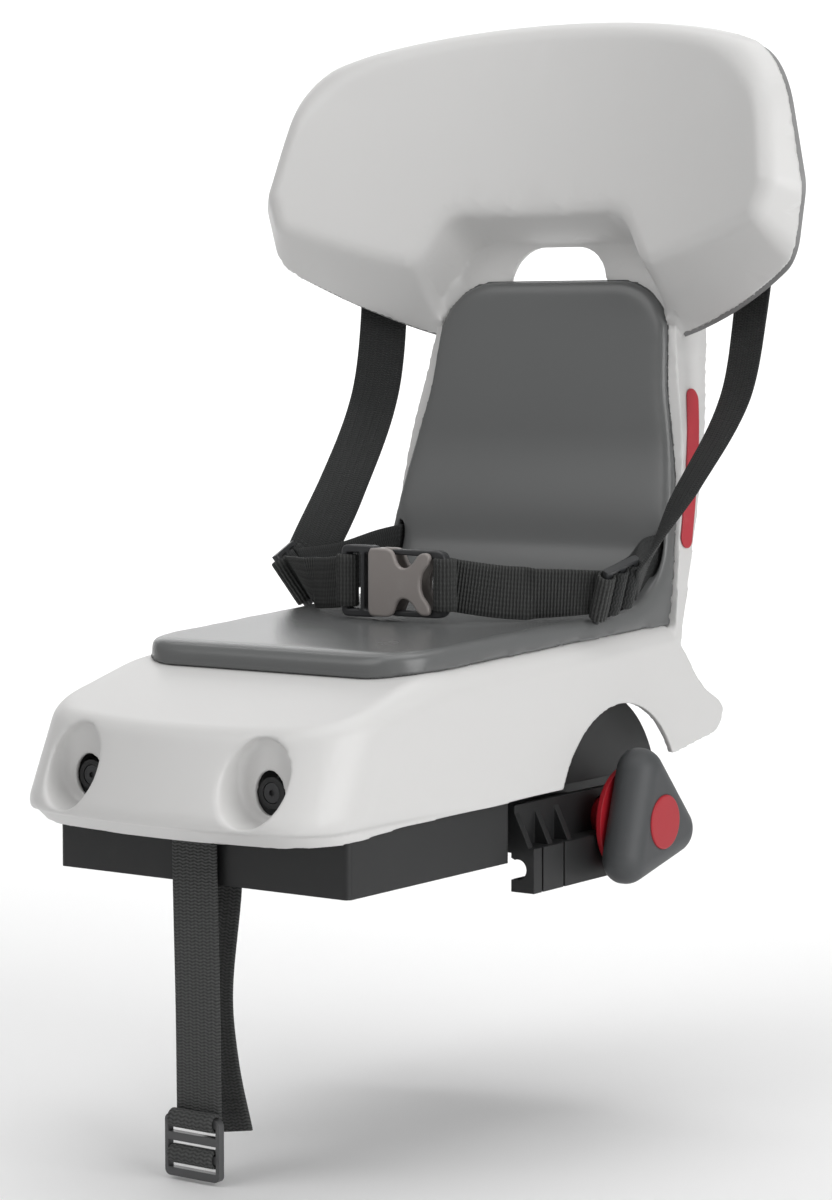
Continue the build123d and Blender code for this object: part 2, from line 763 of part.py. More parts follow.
def make_knob():
    body = extrude(on_bolt(knob_start_x) * knob_outline(), knob_length)
    body = fillet(body.faces().sort_by(Axis.X)[-1].edges(), knob_front_round)
    body = fillet(body.faces().sort_by(Axis.X)[0].edges(), knob_back_round)
    body -= extrude(on_bolt(cap_seat_x) * Circle(cap_radius + cap_gap), knob_length)
    nut_room = RegularPolygon(nut_flats / sqrt(3) + nut_gap, 6)
    body -= extrude(on_bolt(knob_start_x - 1) * nut_room, nut_length + 1 + nut_gap)
    return body - extrude(on_bolt(knob_start_x) * Circle(bolt_radius + bolt_bore_gap), knob_bore)


def make_cap():
    cap = extrude(on_bolt(cap_seat_x + cap_gap) * Circle(cap_radius), cap_thickness)
    return fillet(cap.edges().group_by(Axis.X)[-1], 0.8)


# Harness, made for the left side

bar_room = slider_bar / sqrt(2) + webbing_gap


def ribbon(points, widths):
    """Webbing along a smooth curve through points, with its width along the given directions."""
    spots = [Vector(*p) for p in points]
    slopes = []
    for i, spot in enumerate(spots):
        behind, ahead = spots[max(i - 1, 0)], spots[min(i + 1, len(spots) - 1)]
        slopes.append((ahead - behind) * (1 / ((spot - behind).length + (ahead - spot).length)))
    sections = []
    for i in range(len(spots) - 1):
        span = (spots[i + 1] - spots[i]).length
        last = i == len(spots) - 2
        for k in range(ribbon_steps + 1 if last else ribbon_steps):
            t = k / ribbon_steps
            place = (spots[i] * (1 + 2 * t) * (1 - t)**2 + spots[i + 1] * (3 - 2 * t) * t**2
                     + slopes[i] * (span * t * (1 - t)**2) - slopes[i + 1] * (span * (1 - t) * t**2))
            run = ((spots[i + 1] - spots[i]) * (6 * t * (1 - t)) + slopes[i] * (span * (1 - t) * (1 - 3 * t))
                   + slopes[i + 1] * (span * t * (3 * t - 2))).normalized()
            across = Vector(*widths[i]) * (1 - t) + Vector(*widths[i + 1]) * t
            across = (across - run * across.dot(run)).normalized()
            section = Plane(place, x_dir=across, z_dir=run)
            sections.append(section * Rectangle(webbing_width, webbing_thickness))
    return loft(sections, ruled=True)


def web_loop(frame, inner_radius):
    """End loop of a strap round a bar that lies along the frame's Z."""
    ring = Circle(inner_radius + webbing_thickness) - Circle(inner_radius)
    return frame * extrude(ring, webbing_width / 2, both=True)


def slider_frame():
    """Frame of the left slider: Z along its bars, X to the rear."""
    place = Vector(*slider_place)
    to_shoulder = (Vector(*shoulder_hang[-1]) - place).normalized()
    to_hip = (Vector(hip_slot_x, panel_y, hip_slot_z) - place).normalized()
    to_buckle = (Vector(slider_place[0] - 30, belt_y(slider_place[0] - 30), buckle_z) - place).normalized()
    bar = (to_shoulder.cross(to_buckle) + to_hip.cross(to_buckle)).normalized()
    rear = to_shoulder + to_hip - to_buckle
    rear = (rear - bar * rear.dot(bar)).normalized()
    return Plane(place, x_dir=rear, z_dir=bar)


def belt_y(x):
    return buckle_y + belt_depth * (x / slider_place[0])**2


def bar_frame(offset):
    frame = slider_frame()
    return Plane(frame.origin + frame.x_dir * offset, x_dir=frame.x_dir, z_dir=frame.z_dir)


def make_slider():
    length = 2 * slider_pitch + slider_bar
    frame = slider_frame()
    plate = extrude(RectangleRounded(length, slider_bar, 1.4), slider_height / 2, both=True)
    window = Box(slider_pitch - slider_bar, 20, webbing_width + 2 * slot_room)
    for side in (-1, 1):
        plate -= Pos(side * slider_pitch / 2, 0, 0) * window
    return frame * plate


def loop_side(frame, inner_radius, towards, side):
    """Point on a loop where the strap leaves it towards a place, on one side of the bar."""
    run = Vector(*towards) - frame.origin
    run = (run - frame.z_dir * run.dot(frame.z_dir)).normalized()
    return frame.origin + run.cross(frame.z_dir) * side * (inner_radius + webbing_thickness / 2)


def make_waist_strap(bar_x, inner_radius):
    """Belt from the slider's front bar to the buckle's bar at bar_x."""
    start = bar_frame(-slider_pitch)
    end = Plane((bar_x, buckle_y, buckle_z), z_dir=(0, 0, 1))
    marks = [slider_place[0] - 30, (slider_place[0] + bar_x) / 2, bar_x + 22]
    middle = []
    for x in marks:
        t = (x - bar_x) / (slider_place[0] - bar_x)
        taut_z = buckle_z + t * (slider_place[2] - buckle_z)
        middle.append((x, belt_y(x), taut_z - 4 * belt_sag * t * (1 - t)))
    first = loop_side(start, bar_room, middle[0], 1)
    last = loop_side(end, inner_radius, middle[-1], -1)
    up = (0, 0, 1)
    twist = start.z_dir * 0.5 + Vector(0, 0, 0.5)
    strap = ribbon([first, *middle, last], [start.z_dir, twist, up, up, up])
    return strap + web_loop(start, bar_room) + web_loop(end, inner_radius)


def make_hip_strap():
    """Short strap from the slider's middle bar through the backrest to its anchor pin."""
    start, pin = bar_frame(0), hip_pin_frame()
    panel = hip_frame()
    mouth = panel.from_local_coords((0, -pad_back_thickness - 12, 0))
    inside = panel.from_local_coords((0, wall / 2, 0))
    first = loop_side(start, bar_room, mouth, -1)
    last = panel.from_local_coords((0, pin_depth(), 0))
    twist = start.z_dir * 0.5 + panel.z_dir * 0.5
    middle = (first + mouth) * 0.5
    strap = ribbon([first, middle, mouth, inside, last], [start.z_dir, twist] + [panel.z_dir] * 3)
    return strap + web_loop(start, bar_room) + web_loop(pin, pin_radius + webbing_gap)


def pin_depth():
    """How far behind the front of the backrest panel the hip anchor pin lies."""
    return wall + pad_gap + pin_radius + webbing_gap + webbing_thickness


def hip_pin_frame():
    panel = hip_frame()
    middle = panel.from_local_coords((-pin_radius - webbing_gap - webbing_thickness / 2, pin_depth(), 0))
    return Plane(middle, x_dir=(1, 0, 0), z_dir=panel.z_dir)


def shoulder_pin_frame():
    """Anchor pin inside the headrest, level along the back cover."""
    cover = head_rear_frame(shoulder_x, shoulder_slot_z)
    depth = cover_thickness + pad_gap + pin_radius + webbing_gap + webbing_thickness
    drop = pin_radius + webbing_gap + webbing_thickness / 2
    middle = cover.from_local_coords((0, -drop, -depth))
    return Plane(middle, x_dir=(0, 0, 1), z_dir=cover.x_dir)


def make_shoulder_strap():
    """Strap from its anchor in the headrest, out through the back cover and down to the slider."""
    cover = head_rear_frame(shoulder_x, shoulder_slot_z)
    pin, end = shoulder_pin_frame(), bar_frame(slider_pitch)
    inner = pin_radius + webbing_gap
    depth = cover_thickness + pad_gap + inner + webbing_thickness
    first = cover.from_local_coords((0, 0, -depth))
    out = cover.from_local_coords((0, 0, 3))
    bend = cover.from_local_coords((0, 9, 11))
    last = loop_side(end, bar_room, shoulder_hang[-1], 1)
    level = cover.x_dir
    turn = Vector(0.8, -0.6, 0)
    points = [first, out, bend, *shoulder_hang, last]
    widths = [level, level, level, level, level * 0.7 + turn * 0.3, turn, end.z_dir]
    strap = ribbon(points, widths)
    return strap + web_loop(pin, inner) + web_loop(end, bar_room)


def pin(frame):
    return frame * Cylinder(pin_radius, pin_length)


# Buckle, drawn in X and Z about its middle

def buckle_prism(face, half_thickness):
    return front_prism(Pos(0, buckle_z) * face, buckle_y - half_thickness, buckle_y + half_thickness)


def rounded_box(x0, x1, half_height, radius):
    return Pos((x0 + x1) / 2, 0) * RectangleRounded(x1 - x0, 2 * half_height, radius)


def web_window(x0, x1):
    return rounded_box(x0, x1, webbing_width / 2 + slot_room, 1)


def make_socket():
    half = buckle_height / 2
    frame = rounded_box(socket_left_x, socket_block_x + 1, half, 3)
    frame -= web_window(socket_left_x + socket_bar, socket_left_x + 11)
    frame -= web_window(socket_left_x + 14.5, socket_block_x - 3)
    body = buckle_prism(frame, tongue_half_thickness)
    block = rounded_box(socket_block_x - 3, socket_block_x + 3, half, 2)
    body += buckle_prism(block, buckle_half_thickness)
    waist = ThreePointArc((socket_block_x, half), ((socket_block_x + socket_mouth_x) / 2, socket_waist),
                          (socket_mouth_x, half - 1))
    rest = Polyline((socket_mouth_x, half - 1), (socket_mouth_x, 0), (socket_block_x, 0),
                    (socket_block_x, half))
    upper = make_face(waist.edges() + rest.edges())
    plates = upper + mirror(upper, Plane.XZ)
    body += buckle_prism(plates, buckle_half_thickness)
    gap = polygon((socket_block_x + 3, -far), (far, -far), (far, far), (socket_block_x + 3, far))
    body -= buckle_prism(gap, buckle_half_thickness - socket_plate)
    spine = rounded_box(socket_block_x, socket_mouth_x - 2, socket_spine, 1)
    return body + buckle_prism(spine, buckle_half_thickness - 1)


def make_tongue():
    half = buckle_height / 2
    frame = rounded_box(tongue_left_x, tongue_right_x, half, 4)
    frame -= web_window(tongue_left_x + 5, tongue_right_x - tongue_bar)
    body = buckle_prism(frame, tongue_half_thickness)
    low = socket_spine + prong_gap + 1
    prong = polygon((prong_tip_x, low + 1), (tongue_left_x + 2, low), (tongue_left_x + 2, low + prong_width),
                    (prong_tip_x + 8, low + prong_width - 2), (prong_tip_x, low + prong_width - 4))
    prong = fillet(prong.vertices().group_by(Axis.X)[0], 1.2)
    thin = buckle_half_thickness - socket_plate - prong_gap
    return body + buckle_prism(prong, thin) + buckle_prism(mirror(prong, Plane.XZ), thin)


# Safety strap

def lock_bar_frame():
    return Plane((0, strap_front_y - 1.5, lock_top_z - lock_bar / 2), x_dir=(0, 1, 0), z_dir=(1, 0, 0))


def make_safety_strap():
    """Strap looped through the front of the base, with the lock on its front strand."""
    loop = lock_bar_frame()
    inner = lock_bar / sqrt(2) + webbing_gap
    inside = base_front_y + base_wall + 3
    start = loop_side(loop, inner, (0, strap_front_y, 0), 1)
    points = [start, (3, strap_front_y - 2, -60), (0, strap_front_y, 5), (0, strap_front_y, 30),
              (0, strap_front_y + 2, strap_slot_z - 0.5), (0, inside - 2, strap_slot_z),
              (0, inside, strap_slot_z - 5), (0, inside + 3, 20), (0, strap_floor_slot_y, 5),
              (0, strap_floor_slot_y, -5), (-4, strap_floor_slot_y - 2, -55),
              (-1, strap_floor_slot_y - 1, -90), (5, strap_floor_slot_y + 2, strap_tail_z)]
    across = Vector(1, 0, 0)
    strap = ribbon(points, [across] * len(points))
    return strap + web_loop(loop, inner)


def make_lock():
    frame = lock_bar_frame()
    middle = frame.origin.Z + lock_bar / 2 - lock_height / 2
    face = RectangleRounded(lock_width, lock_height, 3)
    pitch = (lock_height - lock_bar) / 3
    for i in range(3):
        face -= Pos(0, lock_height / 2 - lock_bar - (i + 0.5) * pitch + lock_bar / 2) * Rectangle(
            webbing_width + 2 * slot_room, pitch - lock_bar)
    y = frame.origin.Y
    return front_prism(Pos(0, middle) * face, y - lock_thickness / 2, y + lock_thickness / 2)


def make_badge():
    """Thin plain field on the left flange of the backrest."""
    skin = front_prism(channel_front(-badge_gap - badge_thickness), -far, far)
    skin -= front_prism(channel_front(-badge_gap), -far, far)
    run = Vector(*badge_high) - Vector(*badge_low)
    middle = (Vector(*badge_high) + Vector(*badge_low)) * 0.5
    angle = degrees(asin(run.Y / run.length))
    field = Pos(middle.X, middle.Y) * Rot(0, 0, angle) * SlotOverall(run.length, badge_width)
    return skin & extrude(Plane.YZ * field, far)


def export(name, shape):
    """Write one piece, or a group of like pieces, to its own file."""
    shape.label = name
    export_step(shape, f"parts/{name}.step")


def group(pieces):
    return Compound(children=pieces)


def pair(solid):
    return group([solid, mirror(solid, Plane.YZ)])


def export_pair(name, solid):
    export(f"{name}_left", solid)
    export(f"{name}_right", mirror(solid, Plane.YZ))


os.makedirs("parts", exist_ok=True)
export("seat_shell", make_shell())
export("headrest_back_cover", make_back_cover())
export("seat_pad", make_pad())
export("carrier_base", make_base())
left_jaw = make_jaw()
export("clamp_jaw_left", left_jaw)
export("clamp_jaw_right", make_fixed_jaw(left_jaw))
export("clamp_bolt", make_bolt())
export("bolt_washer", washer(-bolt_seat_x - washer_gap - washer_thickness))
export("knob_washer", washer(bolt_seat_x + washer_gap))
export("knob_nut", make_nut())
export("knob_collar", make_collar())
export("knob_body", make_knob())
export("knob_cap", make_cap())
export_pair("shoulder_strap", make_shoulder_strap())
export_pair("hip_strap", make_hip_strap())
export_pair("strap_slider", make_slider())
tongue_room = sqrt((tongue_bar / 2)**2 + tongue_half_thickness**2) + webbing_gap
socket_room = sqrt((socket_bar / 2)**2 + tongue_half_thickness**2) + webbing_gap
export("waist_strap_left", make_waist_strap(tongue_right_x - tongue_bar / 2, tongue_room))
export("waist_strap_right", mirror(make_waist_strap(-socket_left_x - socket_bar / 2, socket_room), Plane.YZ))
export("buckle_socket", make_socket())
export("buckle_tongue", make_tongue())
export("safety_strap", make_safety_strap())
export("ladder_lock", make_lock())
export("side_badge", make_badge())
export("shoulder_anchor_pins", pair(pin(shoulder_pin_frame())))
export("hip_anchor_pins", pair(pin(hip_pin_frame())))
export("front_screws", pair(screw(front_screw_frame(), 14)))
base_screws = [screw(frame, 22) for frame in base_screw_frames()]
export("base_screws", group(base_screws + [mirror(s, Plane.YZ) for s in base_screws]))
export("jaw_screws", group([screw(frame, 12) for frame in jaw_screw_frames()]))
cover_screws = [screw(cover_screw_frame(x, z), 12) for x, z in cover_screw_places]
export("back_cover_screws", group(cover_screws + [mirror(s, Plane.YZ) for s in cover_screws]))
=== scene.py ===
import json
import math

import bmesh
import bpy
import numpy as np
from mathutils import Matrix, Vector
from mathutils.bvhtree import BVHTree


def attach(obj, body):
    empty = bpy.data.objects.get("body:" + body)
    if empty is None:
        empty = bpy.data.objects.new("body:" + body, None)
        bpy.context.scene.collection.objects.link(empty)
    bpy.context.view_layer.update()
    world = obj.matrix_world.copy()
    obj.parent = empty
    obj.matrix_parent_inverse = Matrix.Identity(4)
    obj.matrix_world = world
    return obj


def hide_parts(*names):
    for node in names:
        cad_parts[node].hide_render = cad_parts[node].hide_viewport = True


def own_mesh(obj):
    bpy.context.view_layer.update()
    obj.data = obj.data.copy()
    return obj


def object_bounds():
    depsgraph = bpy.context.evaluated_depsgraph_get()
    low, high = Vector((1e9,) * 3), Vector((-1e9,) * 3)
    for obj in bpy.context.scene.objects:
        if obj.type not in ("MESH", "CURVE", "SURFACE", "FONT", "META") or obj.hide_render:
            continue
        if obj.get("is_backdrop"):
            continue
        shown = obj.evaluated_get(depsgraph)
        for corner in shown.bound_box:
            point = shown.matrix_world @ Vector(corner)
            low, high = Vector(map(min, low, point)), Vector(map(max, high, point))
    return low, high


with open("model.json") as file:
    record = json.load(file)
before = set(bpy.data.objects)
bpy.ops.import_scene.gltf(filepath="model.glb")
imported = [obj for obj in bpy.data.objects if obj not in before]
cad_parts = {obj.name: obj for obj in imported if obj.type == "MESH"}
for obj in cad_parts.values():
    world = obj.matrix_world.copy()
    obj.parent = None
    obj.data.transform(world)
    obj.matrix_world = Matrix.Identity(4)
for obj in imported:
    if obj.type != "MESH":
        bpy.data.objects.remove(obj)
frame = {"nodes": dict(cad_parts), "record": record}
cad_low, cad_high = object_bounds()
nodes = frame["nodes"]
scene = bpy.context.scene
mm = 0.001
webbing_width = 27 * mm
webbing_thickness = 1.6 * mm
belt_rib_pitch = 1.7 * mm
belt_rib_height = 0.22 * mm

# Shader groups


def new_group(name, inputs, outputs):
    """A shader group with named sockets. inputs: (name, kind, default)."""
    group = bpy.data.node_groups.new(name, "ShaderNodeTree")
    for label, kind, default in inputs:
        socket = group.interface.new_socket(label, in_out="INPUT", socket_type=kind)
        if default is not None:
            socket.default_value = default
    for label, kind in outputs:
        group.interface.new_socket(label, in_out="OUTPUT", socket_type=kind)
    source = group.nodes.new("NodeGroupInput")
    sink = group.nodes.new("NodeGroupOutput")
    return group, source, sink


def math_node(tree, operation, a, b=None, clamp=False):
    """The result of one operation. a and b are numbers or sockets."""
    node = tree.nodes.new("ShaderNodeMath")
    node.operation = operation
    node.use_clamp = clamp
    for slot, value in enumerate((a, b)):
        if value is None:
            continue
        if hasattr(value, "links"):
            tree.links.new(value, node.inputs[slot])
        else:
            node.inputs[slot].default_value = value
    return node.outputs[0]


def noise(tree, vector, scale, detail=3.0, roughness=0.5):
    """Noise from 0 to 1. scale is a number or a socket."""
    node = tree.nodes.new("ShaderNodeTexNoise")
    tree.links.new(vector, node.inputs["Vector"])
    if hasattr(scale, "links"):
        tree.links.new(scale, node.inputs["Scale"])
    else:
        node.inputs["Scale"].default_value = scale
    node.inputs["Detail"].default_value = detail
    node.inputs["Roughness"].default_value = roughness
    return node.outputs["Fac"]


def mix_colour(tree, factor, a, b):
    """A blend of two colours. a and b are colours or sockets."""
    node = tree.nodes.new("ShaderNodeMix")
    node.data_type = "RGBA"
    tree.links.new(factor, node.inputs["Factor"])
    for socket, value in (("A", a), ("B", b)):
        plug = [s for s in node.inputs if s.name == socket and s.type == "RGBA"][0]
        if hasattr(value, "links"):
            tree.links.new(value, plug)
        else:
            plug.default_value = value
    return [s for s in node.outputs if s.type == "RGBA"][0]


def bump(tree, height, strength, distance, normal=None):
    """A normal that follows the height. strength and distance are numbers or sockets."""
    node = tree.nodes.new("ShaderNodeBump")
    tree.links.new(height, node.inputs["Height"])
    if normal is not None:
        tree.links.new(normal, node.inputs["Normal"])
    for name, value in (("Strength", strength), ("Distance", distance)):
        if hasattr(value, "links"):
            tree.links.new(value, node.inputs[name])
        else:
            node.inputs[name].default_value = value
    return node.outputs["Normal"]


def moulded_group():
    """Moulded plastic: fine grain, soft mottling, faint scuffs and slightly rounded edges."""
    group, source, sink = new_group(
        "moulded_plastic",
        [("Colour", "NodeSocketColor", (0.5, 0.5, 0.5, 1)),
         ("Worn Colour", "NodeSocketColor", (0.6, 0.6, 0.6, 1)),
         ("Roughness", "NodeSocketFloat", 0.4), ("Grain Scale", "NodeSocketFloat", 2500.0),
         ("Grain Depth", "NodeSocketFloat", 0.00004), ("Mottle", "NodeSocketFloat", 0.5),
         ("Wear", "NodeSocketFloat", 0.3), ("Edge Radius", "NodeSocketFloat", 0.0007)],
        [("Colour", "NodeSocketColor"), ("Roughness", "NodeSocketFloat"), ("Normal", "NodeSocketVector")])
    at = group.nodes.new("ShaderNodeTexCoord").outputs["Object"]
    grain = noise(group, at, source.outputs["Grain Scale"], 2.0)
    broad = noise(group, at, 9.0, 4.0, 0.55)
    patch = noise(group, at, 70.0, 5.0, 0.7)
    scuff = math_node(group, "MULTIPLY", math_node(group, "SUBTRACT", patch, 0.56, True), 4.0, True)
    wear = math_node(group, "MULTIPLY", scuff, source.outputs["Wear"])
    mottled = math_node(group, "MULTIPLY", math_node(group, "SUBTRACT", broad, 0.5), source.outputs["Mottle"])
    shade = math_node(group, "ADD", wear, math_node(group, "MULTIPLY", mottled, 0.35), True)
    group.links.new(mix_colour(group, shade, source.outputs["Colour"], source.outputs["Worn Colour"]),
                    sink.inputs["Colour"])
    rough = math_node(group, "ADD", source.outputs["Roughness"], math_node(group, "MULTIPLY", mottled, 0.22))
    rough = math_node(group, "ADD", rough, math_node(group, "MULTIPLY", wear, 0.12), True)
    group.links.new(rough, sink.inputs["Roughness"])
    edge = group.nodes.new("ShaderNodeBevel")
    edge.samples = 4
    group.links.new(source.outputs["Edge Radius"], edge.inputs["Radius"])
    group.links.new(bump(group, grain, 0.6, source.outputs["Grain Depth"], edge.outputs["Normal"]),
                    sink.inputs["Normal"])
    return group


def webbing_group():
    """Woven webbing in the strap's own UVs, in metres: ribs across, warp ends along, fine fibres. Its colour
    follows the weave's height, darker in the grooves as painted shade and paler on the crests as painted
    highlight, with random fibre tone mixed in.
    """
    group, source, sink = new_group(
        "woven_webbing",
        [("Colour", "NodeSocketColor", (0.03, 0.03, 0.03, 1)),
         ("Light Colour", "NodeSocketColor", (0.08, 0.08, 0.08, 1)),
         ("Rib Pitch", "NodeSocketFloat", 0.0011), ("Warp Pitch", "NodeSocketFloat", 0.0023),
         ("Stagger", "NodeSocketFloat", 0.5), ("Depth", "NodeSocketFloat", 0.0003)],
        [("Colour", "NodeSocketColor"), ("Roughness", "NodeSocketFloat"), ("Normal", "NodeSocketVector")])
    coords = group.nodes.new("ShaderNodeUVMap")
    split = group.nodes.new("ShaderNodeSeparateXYZ")
    group.links.new(coords.outputs["UV"], split.inputs[0])
    across, along = split.outputs[0], split.outputs[1]
    turn = 2 * math.pi
    warp = math_node(group, "DIVIDE", across, source.outputs["Warp Pitch"])
    row = math_node(group, "MULTIPLY", math_node(group, "PINGPONG", warp, 1.0), source.outputs["Stagger"])
    rib = math_node(group, "ADD", math_node(group, "DIVIDE", along, source.outputs["Rib Pitch"]), row)
    crest = math_node(group, "SINE", math_node(group, "MULTIPLY", rib, turn))
    crest = math_node(group, "ADD", math_node(group, "MULTIPLY", crest, 0.5), 0.5)
    end = math_node(group, "SINE", math_node(group, "MULTIPLY", warp, turn))
    end = math_node(group, "ADD", math_node(group, "MULTIPLY", end, 0.5), 0.5)
    weave = math_node(group, "ADD", math_node(group, "MULTIPLY", crest, 0.75),
                      math_node(group, "MULTIPLY", end, 0.25))
    fibre = noise(group, coords.outputs["UV"], 900.0, 3.0, 0.65)
    height = math_node(group, "ADD", weave, math_node(group, "MULTIPLY", fibre, 0.35))
    # painted light: the colour darkens in the weave's grooves as painted shade and lightens on its crests as
    # painted highlight; the fibre noise adds random tone
    weave_shade_and_fibre = math_node(group, "MULTIPLY", math_node(group, "ADD", math_node(group, "MULTIPLY", weave, 0.7),
                                                  math_node(group, "MULTIPLY", fibre, 0.5)), 0.8, True)
    group.links.new(mix_colour(group, weave_shade_and_fibre, source.outputs["Colour"], source.outputs["Light Colour"]),
                    sink.inputs["Colour"])
    group.links.new(math_node(group, "ADD", 0.62, math_node(group, "MULTIPLY", fibre, 0.3), True),
                    sink.inputs["Roughness"])
    group.links.new(bump(group, height, 0.9, source.outputs["Depth"]), sink.inputs["Normal"])
    return group


def steel_group():
    """Plated steel: fine grain and dull spots."""
    group, source, sink = new_group(
        "plated_steel",
        [("Colour", "NodeSocketColor", (0.5, 0.5, 0.5, 1)),
         ("Dull Colour", "NodeSocketColor", (0.3, 0.3, 0.3, 1)), ("Roughness", "NodeSocketFloat", 0.3)],
        [("Colour", "NodeSocketColor"), ("Roughness", "NodeSocketFloat"), ("Normal", "NodeSocketVector")])
    at = group.nodes.new("ShaderNodeTexCoord").outputs["Object"]
    spots = noise(group, at, 400.0, 4.0, 0.6)
    fine = noise(group, at, 4000.0, 2.0)
    group.links.new(mix_colour(group, spots, source.outputs["Colour"], source.outputs["Dull Colour"]),
                    sink.inputs["Colour"])
    dull = math_node(group, "MULTIPLY", spots, 0.2)
    group.links.new(math_node(group, "ADD", source.outputs["Roughness"], dull, True),
                    sink.inputs["Roughness"])
    group.links.new(bump(group, fine, 0.3, 0.00002), sink.inputs["Normal"])
    return group


groups = {"moulded": moulded_group(), "webbing": webbing_group(), "steel": steel_group()}


def material(name, kind, values, **sockets):
    """A Principled material fed by one of the groups. sockets sets the shader's own constants."""
    result = bpy.data.materials.new(name)
    result.use_nodes = True
    tree = result.node_tree
    shader = tree.nodes["Principled BSDF"]
    source = tree.nodes.new("ShaderNodeGroup")
    source.node_tree = groups[kind]
    for label, value in values.items():
        source.inputs[label].default_value = value
    tree.links.new(source.outputs["Colour"], shader.inputs["Base Color"])
    tree.links.new(source.outputs["Roughness"], shader.inputs["Roughness"])
    tree.links.new(source.outputs["Normal"], shader.inputs["Normal"])
    for label, value in sockets.items():
        shader.inputs[label.replace("_", " ")].default_value = value
    return result


def grey(value):
    return (value, value, value, 1)


def plastic(name, colour, worn, roughness, grain, grain_depth, mottle, wear, **sockets):
    """A moulded material. grain is the grain's scale and grain_depth its height in metres."""
    return material(name, "moulded", {
        "Colour": colour, "Worn Colour": worn, "Roughness": roughness, "Grain Scale": grain,
        "Grain Depth": grain_depth, "Mottle": mottle, "Wear": wear}, **sockets)


def webbing(name, colour, light, rib_pitch, depth, sheen, stagger=0.5):
    """A woven material. rib_pitch and depth are in metres. light is the paler colour painted on the weave's
    crests as painted highlight; colour goes in the grooves as painted shade.
    """
    return material(name, "webbing", {
        "Colour": colour, "Light Colour": light, "Rib Pitch": rib_pitch, "Stagger": stagger, "Depth": depth},
        Sheen_Weight=sheen, Sheen_Roughness=0.5)


def steel(name, colour, dull, roughness, metallic):
    """A steel material. metallic is 1 for bare plating and less under black paint."""
    return material(name, "steel", {"Colour": colour, "Dull Colour": dull, "Roughness": roughness},
                    Metallic=metallic)


paints = {
    "shell": plastic("shell_satin_plastic", (0.665, 0.66, 0.652, 1), (0.62, 0.61, 0.60, 1), 0.36,
                     2600.0, 0.00003, mottle=0.25, wear=0.12, Specular_IOR_Level=0.45),
    "cover": plastic("cover_plastic", grey(0.24), grey(0.28), 0.42,
                     2000.0, 0.00005, mottle=0.35, wear=0.2),
    "pad": plastic("pad_moulded_foam", (0.132, 0.135, 0.135, 1), (0.155, 0.158, 0.158, 1), 0.26,
                   1500.0, 0.00003, mottle=0.35, wear=0.05, Specular_IOR_Level=0.5),
    "base": plastic("base_plastic", (0.012, 0.0125, 0.013, 1), grey(0.03), 0.48,
                    1700.0, 0.00008, mottle=0.5, wear=0.4),
    "knob": plastic("knob_soft_plastic", (0.062, 0.065, 0.068, 1), grey(0.10), 0.52,
                    1900.0, 0.00009, mottle=0.45, wear=0.3),
    "red": plastic("red_plastic", (0.40, 0.012, 0.022, 1), (0.48, 0.03, 0.04, 1), 0.42,
                   2400.0, 0.00004, mottle=0.3, wear=0.25, Specular_IOR_Level=0.5),
    "badge": plastic("badge_red_film", (0.46, 0.03, 0.045, 1), (0.56, 0.10, 0.11, 1), 0.3,
                     1400.0, 0.00005, mottle=0.5, wear=0.5),
    "fitting": plastic("fitting_plastic", (0.030, 0.031, 0.033, 1), grey(0.08), 0.38,
                       2200.0, 0.00005, mottle=0.4, wear=0.4),
    "lock": plastic("lock_plastic", (0.075, 0.076, 0.078, 1), grey(0.13), 0.34,
                    2200.0, 0.00005, mottle=0.4, wear=0.3),
    # painted light: the buckle socket's body colour is raised to stand for the light it catches
    "buckle": plastic("buckle_plastic_lit", (0.275, 0.25, 0.238, 1), (0.34, 0.32, 0.31, 1), 0.33,
                      2400.0, 0.00004, mottle=0.6, wear=0.35),
    # the second colour of each webbing is painted on the weave's crests as painted highlight
    "webbing": webbing("woven_webbing_black", (0.0012, 0.0014, 0.0014, 1), (0.026, 0.028, 0.028, 1),
                       0.0014, 0.0004, sheen=0.03),
    # painted light: a lighter copy of the black webbing, painted for the strap that faces the front light
    "safety": webbing("woven_webbing_front_lit", (0.003, 0.0033, 0.0033, 1), (0.105, 0.108, 0.106, 1),
                      0.0016, 0.0005, sheen=0.05),
    "belt": webbing("woven_webbing_ribbed", (0.0015, 0.0016, 0.0016, 1), (0.060, 0.062, 0.060, 1),
                    belt_rib_pitch, 0.0004, sheen=0.03, stagger=0.12),
    "thread": plastic("stitch_thread", (0.035, 0.036, 0.037, 1), grey(0.09), 0.6,
                      5000.0, 0.00006, mottle=0.5, wear=0.4),
    "steel": steel("zinc_plated_steel", (0.56, 0.56, 0.57, 1), (0.36, 0.36, 0.37, 1), 0.26, 1.0),
    "black_steel": steel("black_steel", (0.045, 0.045, 0.047, 1), (0.02, 0.02, 0.021, 1), 0.34, 0.7),
}

finishes = {
    "seat_shell": "shell", "headrest_back_cover": "cover", "seat_pad": "pad", "carrier_base": "base",
    "clamp_jaw_left": "base", "clamp_jaw_right": "base", "knob_body": "knob", "knob_collar": "red",
    "knob_cap": "red", "strap_slider_left": "fitting", "strap_slider_right": "fitting",
    "ladder_lock": "lock", "buckle_socket": "buckle", "buckle_tongue": "fitting", "side_badge": "badge",
    "front_screws": "fitting", "back_cover_screws": "black_steel",
}
record_slots = {entry["node"]: entry["material_slot"] for entry in frame["record"]["subparts"]}
body_of_node = {n: body for body, members in frame["record"]["behaviour"]["bodies"].items() for n in members}


def paint(thing, name):
    """Gives a CAD node one of the paints."""
    thing.data.materials.clear()
    thing.data.materials.append(paints[name])


for name, thing in nodes.items():
    paint(thing, finishes.get(name, record_slots[name]))

# Mesh helpers


